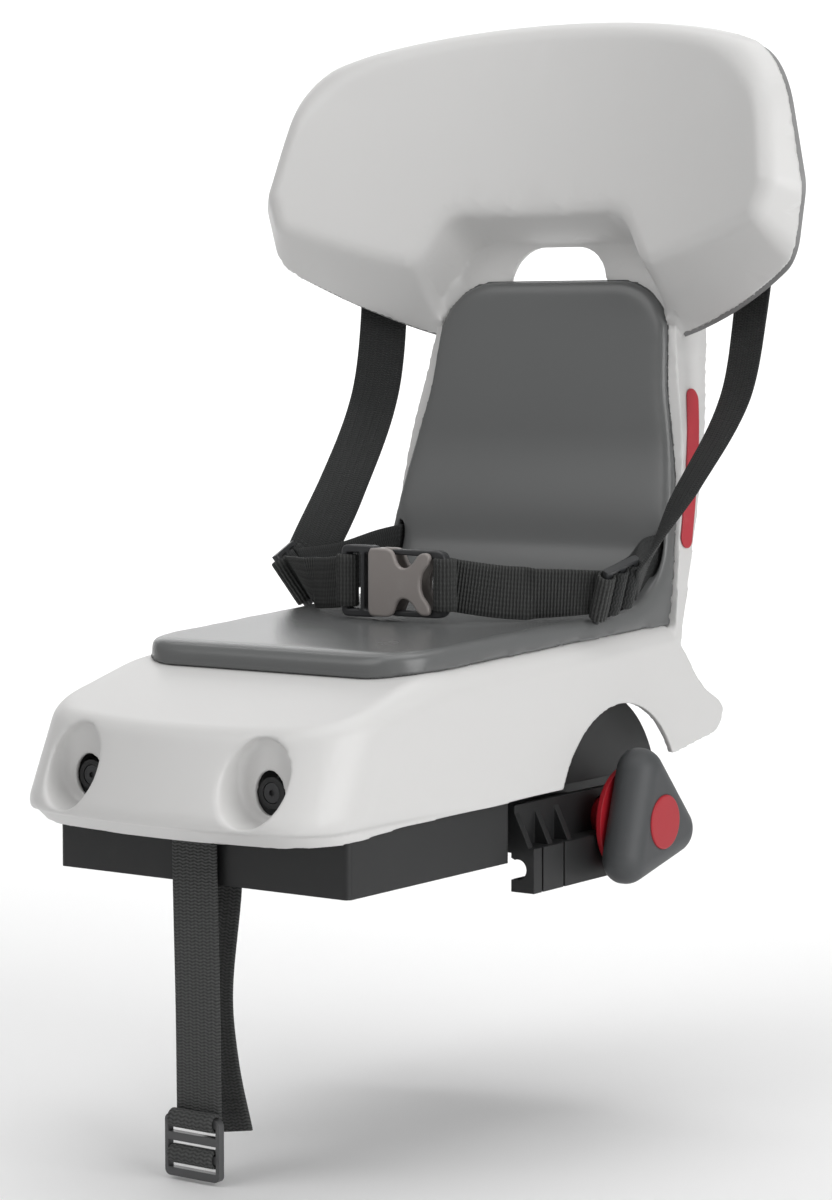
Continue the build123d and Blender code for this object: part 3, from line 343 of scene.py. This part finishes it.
def new_piece(name, mesh, paint_name, body, replaced=()):
    """A finished piece at the origin that rides on a body and may stand for CAD nodes."""
    thing = bpy.data.objects.new(name, mesh)
    scene.collection.objects.link(thing)
    mesh.materials.clear()
    mesh.materials.append(paints[paint_name])
    for polygon in mesh.polygons:
        polygon.use_smooth = True
    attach(thing, body)
    if replaced:
        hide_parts(*replaced)
    return thing


def stand_in(name, mesh, paint_name, node):
    """A finished piece that stands for one CAD node and takes its body."""
    return new_piece(name, mesh, paint_name, body_of_node[node], [node])


def welded(node):
    """A copy of a CAD node's mesh with its seams merged."""
    mesh = nodes[node].data.copy()
    work = bmesh.new()
    work.from_mesh(mesh)
    bmesh.ops.remove_doubles(work, verts=work.verts, dist=1e-5)
    work.to_mesh(mesh)
    work.free()
    return mesh


def with_modifiers(mesh, *settings):
    """The mesh after a row of modifiers, each given as (kind, {property: value})."""
    thing = bpy.data.objects.new("work", mesh)
    scene.collection.objects.link(thing)
    for kind, values in settings:
        modifier = thing.modifiers.new(kind.lower(), kind)
        for label, value in values.items():
            setattr(modifier, label, value)
    ready = thing.evaluated_get(bpy.context.evaluated_depsgraph_get())
    result = bpy.data.meshes.new_from_object(ready)
    bpy.data.objects.remove(thing)
    return result


def points_of(mesh):
    """Places of all points, one row each, in metres."""
    co = np.empty(len(mesh.vertices) * 3)
    mesh.vertices.foreach_get("co", co)
    return co.reshape(-1, 3)


def set_points(mesh, co):
    mesh.vertices.foreach_set("co", co.ravel())
    mesh.update()


def edges_of(mesh):
    """Numbers of the two end points of each edge."""
    ends = np.empty(len(mesh.edges) * 2, dtype=np.int64)
    mesh.edges.foreach_get("vertices", ends)
    return ends.reshape(-1, 2)


def spread(values, ends, count):
    """Mean of each point's neighbours, for one value or a row of values per point."""
    columns = values.reshape(len(values), -1)
    total = np.empty_like(columns, dtype=float)
    for k in range(columns.shape[1]):
        total[:, k] = (np.bincount(ends[:, 0], columns[ends[:, 1], k], len(values))
                       + np.bincount(ends[:, 1], columns[ends[:, 0], k], len(values)))
    return (total / count[:, None]).reshape(values.shape)


def neighbours(ends, points):
    """How many neighbours each point has, at least 1."""
    return np.maximum(np.bincount(ends.ravel(), minlength=points), 1)


def relax(mesh, weights, rounds, factor=0.5):
    """Laplacian smoothing, weighted point by point."""
    co, ends = points_of(mesh), edges_of(mesh)
    ends = ends[(weights[ends] > 0).any(axis=1)]
    count = neighbours(ends, len(co))
    for _ in range(rounds):
        co += (spread(co, ends, count) - co) * (weights * factor)[:, None]
    set_points(mesh, co)


def even_out(mesh, rounds):
    """Smoothing that takes off the steps of a remesh but keeps the form's size."""
    everywhere = np.ones(len(mesh.vertices))
    for _ in range(rounds):
        relax(mesh, everywhere, 1, 0.5)
        relax(mesh, everywhere, 1, -0.52)


def normals_of(mesh):
    normals = np.empty(len(mesh.vertices) * 3)
    mesh.vertex_normals.foreach_get("vector", normals)
    return normals.reshape(-1, 3)


def ridges(mesh, limit, rings):
    """Weights from 0 to 1 for the points on and beside edges where the surface turns sharply."""
    normals, ends = normals_of(mesh), edges_of(mesh)
    count = neighbours(ends, len(normals))
    turn = np.linalg.norm(spread(normals, ends, count) - normals, axis=1)
    weights = (turn > limit).astype(float)
    for _ in range(rings):
        weights = np.maximum(weights, spread(weights, ends, count) > 0)
    for _ in range(2):
        weights = spread(weights, ends, count)
    return weights


def snap(mesh, target, chosen):
    """Lays the chosen points back on the target's surface, each on its own side of the wall."""
    tree = BVHTree.FromPolygons([v.co for v in target.vertices], [p.vertices for p in target.polygons])
    co, normals = points_of(mesh), normals_of(mesh)
    for i in np.flatnonzero(chosen):
        place, normal, _, _ = tree.find_nearest(Vector(co[i]))
        if normal.dot(Vector(normals[i])) > 0:
            co[i] = place
    set_points(mesh, co)


def inside(co, low, high):
    """Weights of 1 inside a box given in millimetres, mirrored about the centre plane."""
    spot = co.copy()
    spot[:, 0] = np.abs(spot[:, 0])
    return np.all((spot > np.array(low) * mm) & (spot < np.array(high) * mm), axis=1).astype(float)


# Shell: remeshed evenly, with the edges of the scoop, of the screw pockets and of the nose rounded off

remesh_swell = 0.8 * mm
shell_voxel = 1.3 * mm
shell_triangles = 190000
even_rounds = 6
ridge_turn = 0.08
scoop_rings, scoop_rounds = 4, 90
pocket_rings, pocket_rounds = 1, 16
scoop_zone = ((-1, 30, 270), (92, 88, 350))
pocket_zone = ((30, -290, 25), (80, -244, 85))
headrest_zone = ((-1, -60, 250), (200, 140, 450))


def remeshed(form, voxel):
    """An even mesh of the form. It is swollen first and shrunk after, so that thin walls stay closed."""
    mesh = with_modifiers(
        form.copy(), ("DISPLACE", {"strength": remesh_swell, "mid_level": 0}),
        ("REMESH", {"mode": "VOXEL", "voxel_size": voxel}),
        ("DISPLACE", {"strength": -remesh_swell, "mid_level": 0}))
    even_out(mesh, even_rounds)
    return mesh


face_corner = (128, 46, 403)
face_corner_reach = 22 * mm
face_corner_shift = (-6, 2, -6)
face_fade_y = 74 * mm
face_fade = 25 * mm


def soften_corners(mesh):
    """Rounds the upper corners of the headrest's dished face further; the rear border stays."""
    co = points_of(mesh)
    side = np.sign(co[:, :1])
    mirror = np.hstack([side, np.ones_like(side), np.ones_like(side)]) * mm
    away = np.linalg.norm(co - mirror * face_corner, axis=1, keepdims=True)
    near = np.exp(-(away / face_corner_reach) ** 2)
    near *= np.clip((face_fade_y - co[:, 1:2]) / face_fade, 0, 1)
    set_points(mesh, co + near * mirror * face_corner_shift)


nose_core_half_width = 58 * mm
nose_core_front_y = -225 * mm
nose_rim_z = 32 * mm
nose_edge_height = 9 * mm
nose_edge_depth = 4 * mm
nose_fade_y = -120 * mm
nose_fade = 80 * mm


def soften_nose(mesh):
    """Draws the nose's lower edge in, on a rounded profile that fades out along the sides."""
    co = points_of(mesh)
    core = co.copy()
    core[:, 0] = np.clip(co[:, 0], -nose_core_half_width, nose_core_half_width)
    core[:, 1] = np.maximum(co[:, 1], nose_core_front_y)
    outward = (co - core) / np.maximum(np.linalg.norm(co - core, axis=1, keepdims=True), 1e-9)
    low = 1 - np.clip((co[:, 2:] - nose_rim_z) / nose_edge_height, 0, 1)
    fade = np.clip((nose_fade_y - co[:, 1:2]) / nose_fade, 0, 1)
    set_points(mesh, co - outward * fade * nose_edge_depth * (1 - np.sqrt(1 - low ** 2)))


shell_form = welded("seat_shell")
shell_mesh = remeshed(shell_form, shell_voxel)
shell_points = points_of(shell_mesh)
scoop_edge = ridges(shell_mesh, ridge_turn, scoop_rings) * inside(shell_points, *scoop_zone)
pocket_edge = ridges(shell_mesh, ridge_turn, pocket_rings) * inside(shell_points, *pocket_zone)
relax(shell_mesh, scoop_edge, scoop_rounds)
relax(shell_mesh, pocket_edge, pocket_rounds)
snap(shell_mesh, shell_form, (scoop_edge < 0.01) * inside(shell_points, *headrest_zone))
soften_corners(shell_mesh)
soften_nose(shell_mesh)
shell_share = min(1.0, shell_triangles / (2 * len(shell_mesh.polygons)))
shell_mesh = with_modifiers(shell_mesh, ("DECIMATE", {"ratio": shell_share}))
stand_in("seat_shell_moulded", shell_mesh, "shell", "seat_shell")

# Pad: one moulded foam piece, round at its upper edges and crisp where it lies on the shell

pad_voxel = 1.5 * mm
pad_rounds = 50
lying_turn = 0.6
back_thinning = 4.5 * mm
back_low_z = 150 * mm
back_blend = 60 * mm
back_widening = 5.5 * mm
back_wide_z = 258 * mm
back_wide_reach = 28 * mm
back_core_half_width = 25 * mm
back_side_width = 40 * mm


def thin_back(mesh, free):
    """Lets the free front of the backrest's pad lie nearer the shell."""
    co = points_of(mesh)
    t = np.clip((co[:, 2] - back_low_z) / back_blend, 0, 1)
    co[:, 1] += back_thinning * free * t ** 2 * (3 - 2 * t)
    set_points(mesh, co)


def widen_back(mesh):
    """Makes the sides of the pad's upper part fuller."""
    co = points_of(mesh)
    upper = np.exp(-((co[:, 2] - back_wide_z) / back_wide_reach) ** 2)
    outer = np.clip((np.abs(co[:, 0]) - back_core_half_width) / back_side_width, 0, 1)
    co[:, 0] += back_widening * np.sign(co[:, 0]) * upper * outer
    set_points(mesh, co)


pad_form = welded("seat_pad")
pad_mesh = remeshed(pad_form, pad_voxel)
pad_normals = normals_of(pad_mesh)
lying = (pad_normals[:, 2] < -lying_turn) | (pad_normals[:, 1] > lying_turn)
pad_ends = edges_of(pad_mesh)
loose = spread(1.0 - lying, pad_ends, neighbours(pad_ends, len(lying))) * ~lying
relax(pad_mesh, loose, pad_rounds)
thin_back(pad_mesh, loose)
snap(pad_mesh, pad_form, lying)
widen_back(pad_mesh)
stand_in("seat_pad_moulded", pad_mesh, "pad", "seat_pad")

# Webbing


def curve_through(points, widths, step):
    """Places, directions and width directions along a smooth curve through the route's points."""
    spots = [Vector(p) * mm for p in points]
    slopes = []
    for i, spot in enumerate(spots):
        behind, ahead = spots[max(i - 1, 0)], spots[min(i + 1, len(spots) - 1)]
        slopes.append((ahead - behind) / ((spot - behind).length + (ahead - spot).length))
    places, runs, acrosses = [], [], []
    for i in range(len(spots) - 1):
        span = (spots[i + 1] - spots[i]).length
        count = max(3, round(span / step))
        for k in range(count + (i == len(spots) - 2)):
            t = k / count
            place = (spots[i] * (1 + 2 * t) * (1 - t) ** 2 + spots[i + 1] * (3 - 2 * t) * t ** 2
                     + slopes[i] * (span * t * (1 - t) ** 2) - slopes[i + 1] * (span * (1 - t) * t ** 2))
            run = ((spots[i + 1] - spots[i]) * (6 * t * (1 - t)) + slopes[i] * (span * (1 - t) * (1 - 3 * t))
                   + slopes[i + 1] * (span * t * (3 * t - 2))).normalized()
            across = Vector(widths[i]) * (1 - t) + Vector(widths[i + 1]) * t
            across = (across - run * across.dot(run)).normalized()
            places.append(place)
            runs.append(run)
            acrosses.append(across)
    return places, runs, acrosses


profile_columns = 9


def profile():
    """Cross-section of the webbing: flat faces and rounded selvedges, as (across, out) pairs."""
    half, thick = webbing_width / 2, webbing_thickness / 2
    top = [(half * (2 * k / (profile_columns - 1) - 1), thick) for k in range(profile_columns)]
    top[0], top[-1] = (-half + thick * 0.5, thick * 0.92), (half - thick * 0.5, thick * 0.92)
    rim = [(half, thick * 0.35), (half, -thick * 0.35)]
    bottom = [(x, -y) for x, y in reversed(top)]
    other = [(-half, -thick * 0.35), (-half, thick * 0.35)]
    return top + rim + bottom + other


def band(work, uv, places, runs, acrosses, rib_height, closed=False):
    """Adds one band of webbing to a mesh, with UVs in metres and ribs across it if they have a height."""
    section = profile()
    rows, along = [], [0.0]
    for i, (place, run, across) in enumerate(zip(places, runs, acrosses)):
        out = run.cross(across)
        if i:
            along.append(along[-1] + (place - places[i - 1]).length)
        swell = 1 + 2 * rib_height / webbing_thickness * math.sin(2 * math.pi * along[-1] / belt_rib_pitch)
        rows.append([work.verts.new(place + across * x + out * y * swell) for x, y in section])
    count = len(section)
    pairs = [(i, i + 1, along[i], along[i + 1]) for i in range(len(rows) - 1)]
    if closed:
        pairs.append((len(rows) - 1, 0, along[-1], along[-1] + (places[0] - places[-1]).length))
    for i, j, start, end in pairs:
        for k in range(count):
            other = (k + 1) % count
            face = work.faces.new((rows[i][k], rows[i][other], rows[j][other], rows[j][k]))
            for loop, x, v in zip(face.loops, (k, other, other, k), (start, start, end, end)):
                loop[uv].uv = (section[x][0] + webbing_width / 2, v)
    if not closed:
        for row in (rows[0], list(reversed(rows[-1]))):
            face = work.faces.new(list(reversed(row)))
            for loop in face.loops:
                loop[uv].uv = (0.001, 0.001)
    return along[-1]


def ring(centre, axis, radius, step):
    """The route of an end loop round a bar."""
    centre, axis = Vector(centre) * mm, Vector(axis).normalized()
    steps = max(28, round(2 * math.pi * radius * mm / step))
    side = axis.orthogonal().normalized()
    other = axis.cross(side)
    places, runs = [], []
    for k in range(steps):
        angle = 2 * math.pi * k / steps
        places.append(centre + (side * math.cos(angle) + other * math.sin(angle)) * radius * mm)
        runs.append((other * math.cos(angle) - side * math.sin(angle)).normalized())
    return places, runs, [axis] * steps


seam_rows = (9 * mm, 13 * mm)
seam_half_width = 10 * mm
stitch_pitch = 2.5 * mm
stitch_length = 2.1 * mm
thread_radius = 0.35 * mm
stitches = []


def sew(places, runs, acrosses):
    """Notes the stitches of the seam rows before the strap's last loop, on both of its faces."""
    left, waiting = 0.0, list(seam_rows)
    for i in range(len(places) - 2, 0, -1):
        left += (places[i + 1] - places[i]).length
        if not waiting or left < waiting[0]:
            continue
        waiting.pop(0)
        out = runs[i].cross(acrosses[i]) * (webbing_thickness / 2)
        count = round(2 * seam_half_width / stitch_pitch)
        for k in range(count + 1):
            spot = places[i] + acrosses[i] * (k * stitch_pitch - seam_half_width)
            stitches.extend([(spot + out, acrosses[i]), (spot - out, acrosses[i])])


def strap(name, node, points, widths, loops, mirrored=False, paint_name="webbing"):
    """A strap along its route, with an end loop round each bar. Belts get ribs, other straps a seam."""
    ribbed = paint_name == "belt"
    step = belt_rib_pitch / 6 if ribbed else 3 * mm
    rib_height = belt_rib_height if ribbed else 0
    flip = Vector((-1, 1, 1)) if mirrored else Vector((1, 1, 1))
    points = [Vector(p) * flip for p in points]
    widths = [Vector(w) * flip for w in widths]
    mesh = bpy.data.meshes.new(name)
    work = bmesh.new()
    uv = work.loops.layers.uv.new("weave")
    route = curve_through(points, widths, step)
    length = band(work, uv, *route, rib_height)
    if not ribbed:
        sew(*route)
    for centre, axis, radius in loops:
        route = ring(Vector(centre) * flip, Vector(axis) * flip, radius + webbing_thickness / 2 / mm, step)
        length += band(work, uv, *route, rib_height, closed=True)
    bmesh.ops.recalc_face_normals(work, faces=work.faces)
    work.to_mesh(mesh)
    work.free()
    piece = stand_in(name, mesh, paint_name, node)
    return piece


level, bar, up, lean = (0.934, -0.356, 0), (0.422, -0.353, 0.835), (0, 0, 1), (0, 0.168, 0.986)
slider_loop = 3.03
pin_loop = 2.7
side_straps = {
    "shoulder": ([(114.4, 71.3, 312), (118.6, 82.2, 312), (121.4, 89.7, 303), (119.5, 90, 275),
                  (117, 77, 226), (110, 36, 176), (106.6, -4.6, 132.5)],
                 [level, level, level, level, (0.901, -0.433, 0), (0.8, -0.6, 0), bar],
                 [((114.4, 71.3, 315.5), level, pin_loop), ((103.2, -5.7, 133.8), bar, slider_loop)]),
    "hip": ([(97.6, -16.3, 132.1), (90.8, 12.4, 134), (84, 41.1, 140.5), (84, 63.3, 142.2),
             (84, 69.4, 141.7)],
            [bar, (0.225, -0.098, 0.97), lean, lean, lean],
            [((101, -15, 131), bar, slider_loop), ((80.5, 69.4, 141.7), lean, pin_loop)]),
}
for kind, (points, widths, loops) in side_straps.items():
    for side, mirrored in (("left", False), ("right", True)):
        strap(f"{kind}_webbing_{side}", f"{kind}_strap_{side}", points, widths, loops, mirrored)

belt_start, belt_loop = (97, -21.6, 130.2), ((98.8, -24.3, 128.2), bar, slider_loop)
belt_widths = [bar, (0.22, -0.184, 0.958), up, up, up]
belt_left = strap(
    "waist_webbing_left", "waist_strap_left",
    [belt_start, (71, -43.8, 129.7), (66.5, -46.8, 129.8), (54, -54, 130.7), (29.3, -63.8, 134)],
    belt_widths, [belt_loop, ((32, -68, 134), up, 4.23)], paint_name="belt")
strap("waist_webbing_right", "waist_strap_right",
      [belt_start, (71, -43.8, 129.6), (65.1, -47.6, 129.8), (51.2, -55.4, 130.8), (26.8, -63.7, 134)],
      belt_widths, [belt_loop, ((29.2, -68, 134), up, 4.11)], mirrored=True, paint_name="belt")

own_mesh(belt_left)

cross = (1, 0, 0)
safety_route = [(0, -228.2, -114.1), (3, -232.5, -60), (0, -230.5, 5), (0, -230.5, 30), (0, -228.5, 39.5),
                (0, -222, 40), (0, -220, 35), (0, -217, 20), (0, -212, 5), (0, -212, -5), (-4, -214, -55),
                (-1, -213, -90), (5, -210, -123)]
strap("safety_webbing", "safety_strap", safety_route, [cross] * len(safety_route),
      [((0, -232, -114), cross, slider_loop), ((0, -232, -131.3), cross, slider_loop)], paint_name="safety")

# Buckle: the socket is one moulding, yet its waisted body is painted lighter as painted highlight and its
# webbing frame dark as painted shade; a dark fork carries the belt

buckle_centre = Vector((0, -68, 134)) * mm


def rounded(points, radius, steps=4):
    """A closed outline with its corners cut back by the radius and rounded."""
    corners = [Vector(p) for p in points]
    result = []
    for i, corner in enumerate(corners):
        arms = [other - corner for other in (corners[i - 1], corners[(i + 1) % len(corners)])]
        start, end = (arm * min(radius / arm.length, 0.5) for arm in arms)
        for k in range(steps + 1):
            t = k / steps
            result.append(corner + start * (1 - t) ** 2 + end * t ** 2)
    return result


def block(x0, x1, half_height):
    """Outline of a plain block, even about the buckle's middle height."""
    return [(x0, half_height), (x1, half_height), (x1, -half_height), (x0, -half_height)]


def mirrored_outline(upper):
    """The whole outline from its upper half, listed from left to right and back."""
    return upper + [(x, -z) for x, z in reversed(upper)]


def slab(outlines, near, far, edge):
    """Flat moulding between two depths, with round edges. Outlines after the first are windows."""
    curve = bpy.data.curves.new("work", "CURVE")
    curve.dimensions = "2D"
    curve.fill_mode = "BOTH"
    curve.extrude = ((far - near) / 2 - edge) * mm
    curve.bevel_depth = edge * mm
    curve.bevel_resolution = 3
    curve.offset = -edge * mm
    for outline in outlines:
        spline = curve.splines.new("POLY")
        spline.points.add(len(outline) - 1)
        for point, (x, z) in zip(spline.points, outline):
            point.co = (x * mm, z * mm, 0, 1)
        spline.use_cyclic_u = True
    thing = bpy.data.objects.new("work", curve)
    scene.collection.objects.link(thing)
    mesh = bpy.data.meshes.new_from_object(thing.evaluated_get(bpy.context.evaluated_depsgraph_get()))
    bpy.data.objects.remove(thing)
    middle = (near + far) / 2 * mm
    for vertex in mesh.vertices:
        x, z, depth = vertex.co
        vertex.co = buckle_centre + Vector((x, middle - depth, z))
    return mesh


def joined(meshes):
    """One mesh that holds all the given ones."""
    work = bmesh.new()
    for mesh in meshes:
        work.from_mesh(mesh)
    result = bpy.data.meshes.new("joined")
    work.to_mesh(result)
    work.free()
    return result


plate_near, plate_far, plate_edge = 3.3, 6.4, 1.1
frame_half_depth = 3.5
fork_half_depth = 2.8
web_window_half_height = 14.5
waist = rounded(mirrored_outline([
    (-12, 17.6), (3, 17.6), (5.5, 10), (9.5, 7.4), (15, 9), (20, 16), (26.5, 16), (26.5, 11), (20.5, 5)]), 4)
socket_body = joined([
    slab([waist], -plate_far, -plate_near, plate_edge), slab([waist], plate_near, plate_far, plate_edge),
    slab([rounded(block(-12, -6, 17.4), 1.5)], -5, 5, 0.8)])
stand_in("buckle_socket_body_lit", socket_body, "buckle", "buckle_socket")

web_windows = [rounded(block(left, right, web_window_half_height), 1)
               for left, right in ((-27.5, -19), (-16.2, -11.8))]
# painted shade: the frame, part of the same moulding as the body, takes the dark fitting paint
socket_frame = slab([rounded(block(-31, -9, 18.5), 4), *web_windows], -frame_half_depth, frame_half_depth, 1)
new_piece("buckle_socket_frame_shaded", socket_frame, "fitting", "seat")

fork_outer = [(-1, 14.4), (-1, 16), (1, 17.2), (31, 17.2), (34, 14)]
fork_inner = [(22, -14), (29.8, -11.5), (29.8, 11.5), (22, 14)]
fork = rounded(mirrored_outline(fork_outer) + fork_inner, 3)
stand_in("buckle_fork", slab([fork], -fork_half_depth, fork_half_depth, 0.9), "fitting", "buckle_tongue")

# Seams of the webbing


def stitch_nodes():
    """Geometry nodes: a thread stitch on each point, laid along the point's own direction."""
    group = bpy.data.node_groups.new("stitch_rows", "GeometryNodeTree")
    inputs = [("Geometry", "NodeSocketGeometry"), ("Stitch Length", "NodeSocketFloat"),
              ("Thread Radius", "NodeSocketFloat"), ("Material", "NodeSocketMaterial")]
    for label, kind in inputs:
        group.interface.new_socket(label, in_out="INPUT", socket_type=kind)
    group.interface.new_socket("Geometry", in_out="OUTPUT", socket_type="NodeSocketGeometry")
    make, link = group.nodes.new, group.links.new
    source, sink = make("NodeGroupInput"), make("NodeGroupOutput")
    bead = make("GeometryNodeMeshUVSphere")
    bead.inputs["Segments"].default_value = 8
    bead.inputs["Rings"].default_value = 6
    half = make("ShaderNodeMath")
    half.operation = "MULTIPLY"
    half.inputs[1].default_value = 0.5
    size = make("ShaderNodeCombineXYZ")
    way = make("GeometryNodeInputNamedAttribute")
    way.data_type = "FLOAT_VECTOR"
    way.inputs["Name"].default_value = "way"
    turn = make("FunctionNodeAlignRotationToVector")
    turn.axis = "Z"
    place = make("GeometryNodeInstanceOnPoints")
    real = make("GeometryNodeRealizeInstances")
    cover = make("GeometryNodeSetMaterial")
    link(source.outputs["Stitch Length"], half.inputs[0])
    link(source.outputs["Thread Radius"], size.inputs["X"])
    link(source.outputs["Thread Radius"], size.inputs["Y"])
    link(half.outputs[0], size.inputs["Z"])
    link(way.outputs["Attribute"], turn.inputs["Vector"])
    link(source.outputs["Geometry"], place.inputs["Points"])
    link(bead.outputs["Mesh"], place.inputs["Instance"])
    link(turn.outputs["Rotation"], place.inputs["Rotation"])
    link(size.outputs["Vector"], place.inputs["Scale"])
    link(place.outputs["Instances"], real.inputs["Geometry"])
    link(real.outputs["Geometry"], cover.inputs["Geometry"])
    link(source.outputs["Material"], cover.inputs["Material"])
    link(cover.outputs["Geometry"], sink.inputs["Geometry"])
    return group


def scattered(name, spots, group, values):
    """A mesh of what a node group puts on the given (place, direction) pairs."""
    mesh = bpy.data.meshes.new(name)
    mesh.from_pydata([place for place, _ in spots], [], [])
    way = mesh.attributes.new("way", "FLOAT_VECTOR", "POINT")
    for entry, (_, direction) in zip(way.data, spots):
        entry.vector = direction
    thing = bpy.data.objects.new(name, mesh)
    scene.collection.objects.link(thing)
    modifier = thing.modifiers.new(name, "NODES")
    modifier.node_group = group
    for item in group.interface.items_tree:
        if item.in_out == "INPUT" and item.name in values:
            modifier[item.identifier] = values[item.name]
    result = bpy.data.meshes.new_from_object(thing.evaluated_get(bpy.context.evaluated_depsgraph_get()))
    bpy.data.objects.remove(thing)
    return result


seam_mesh = scattered("stitches", stitches, stitch_nodes(), {
    "Stitch Length": stitch_length, "Thread Radius": thread_radius, "Material": paints["thread"]})
new_piece("webbing_stitches", seam_mesh, "thread", "seat")

# Camera, light and stage

camera_data = bpy.data.cameras.new("camera")
camera_data.sensor_fit = "VERTICAL"
camera_data.sensor_height = 36
camera_data.lens = 96
camera = bpy.data.objects.new("camera", camera_data)
camera.location = (0.9527, -1.4011, 0.2540)
camera.rotation_euler = (Vector((0, -0.048, 0.1235)) - camera.location).to_track_quat("-Z", "Y").to_euler()
scene.collection.objects.link(camera)
scene.camera = camera

floor_gap = 2 * mm
floor_z = cad_low[2] - floor_gap
floor_half_width = 6
floor_front_y, floor_rear_y = -4, 2
floor_steps, bend_steps = 8, 16
bend_radius = 1.6
wall_height = 6


def paper_profile():
    """Side view of the backdrop paper: flat floor, round bend and wall, as (y, height) pairs."""
    floor_step = (floor_rear_y - floor_front_y) / floor_steps
    flat = [(floor_front_y + floor_step * k, 0) for k in range(floor_steps + 1)]
    angles = [math.pi / 2 * k / bend_steps for k in range(1, bend_steps + 1)]
    bend = [(floor_rear_y + bend_radius * math.sin(a), bend_radius * (1 - math.cos(a))) for a in angles]
    return flat + bend + [(floor_rear_y + bend_radius, wall_height)]


floor_mesh = bpy.data.meshes.new("floor")
work = bmesh.new()
rows = [[work.verts.new((x, y, floor_z + height)) for x in (-floor_half_width, floor_half_width)]
        for y, height in paper_profile()]
for low, high in zip(rows, rows[1:]):
    work.faces.new((low[0], low[1], high[1], high[0]))
work.to_mesh(floor_mesh)
work.free()
for polygon in floor_mesh.polygons:
    polygon.use_smooth = True
floor = bpy.data.objects.new("floor", floor_mesh)
floor.rotation_euler = (0, 0, math.radians(35))
scene.collection.objects.link(floor)
floor_paint = bpy.data.materials.new("stage_paper")
floor_paint.use_nodes = True
floor_paint.node_tree.nodes["Principled BSDF"].inputs["Base Color"].default_value = (0.9, 0.9, 0.9, 1)
floor_paint.node_tree.nodes["Principled BSDF"].inputs["Roughness"].default_value = 0.9
floor_mesh.materials.append(floor_paint)
floor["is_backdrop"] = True

world = bpy.data.worlds.new("studio")
world.use_nodes = True
world.node_tree.nodes["Background"].inputs["Color"].default_value = (1, 1, 1, 1)
world.node_tree.nodes["Background"].inputs["Strength"].default_value = 0.29
scene.world = world
scene.view_settings.view_transform = "Standard"


def area_light(name, place, target, size, power):
    """A rectangular soft light that looks at the target."""
    data = bpy.data.lights.new(name, "AREA")
    data.shape = "RECTANGLE"
    data.size, data.size_y = size
    data.energy = power
    light = bpy.data.objects.new(name, data)
    light.location = place
    light.rotation_euler = (Vector(target) - Vector(place)).to_track_quat("-Z", "Y").to_euler()
    scene.collection.objects.link(light)


area_light("side", (1.9, -0.5, 0.75), (0, -0.05, 0.15), (1.5, 1.5), 23)
area_light("top", (0.1, -0.1, 2.0), (0, -0.05, 0.2), (1.6, 1.6), 13)
area_light("front", (-0.8, -1.7, 1.9), (0, -0.05, 0.2), (1.5, 1.5), 13)
area_light("paper", (-0.9, 1.0, 2.4), (-1.8, 3.2, 0.6), (2.5, 1.0), 75)

low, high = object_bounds()
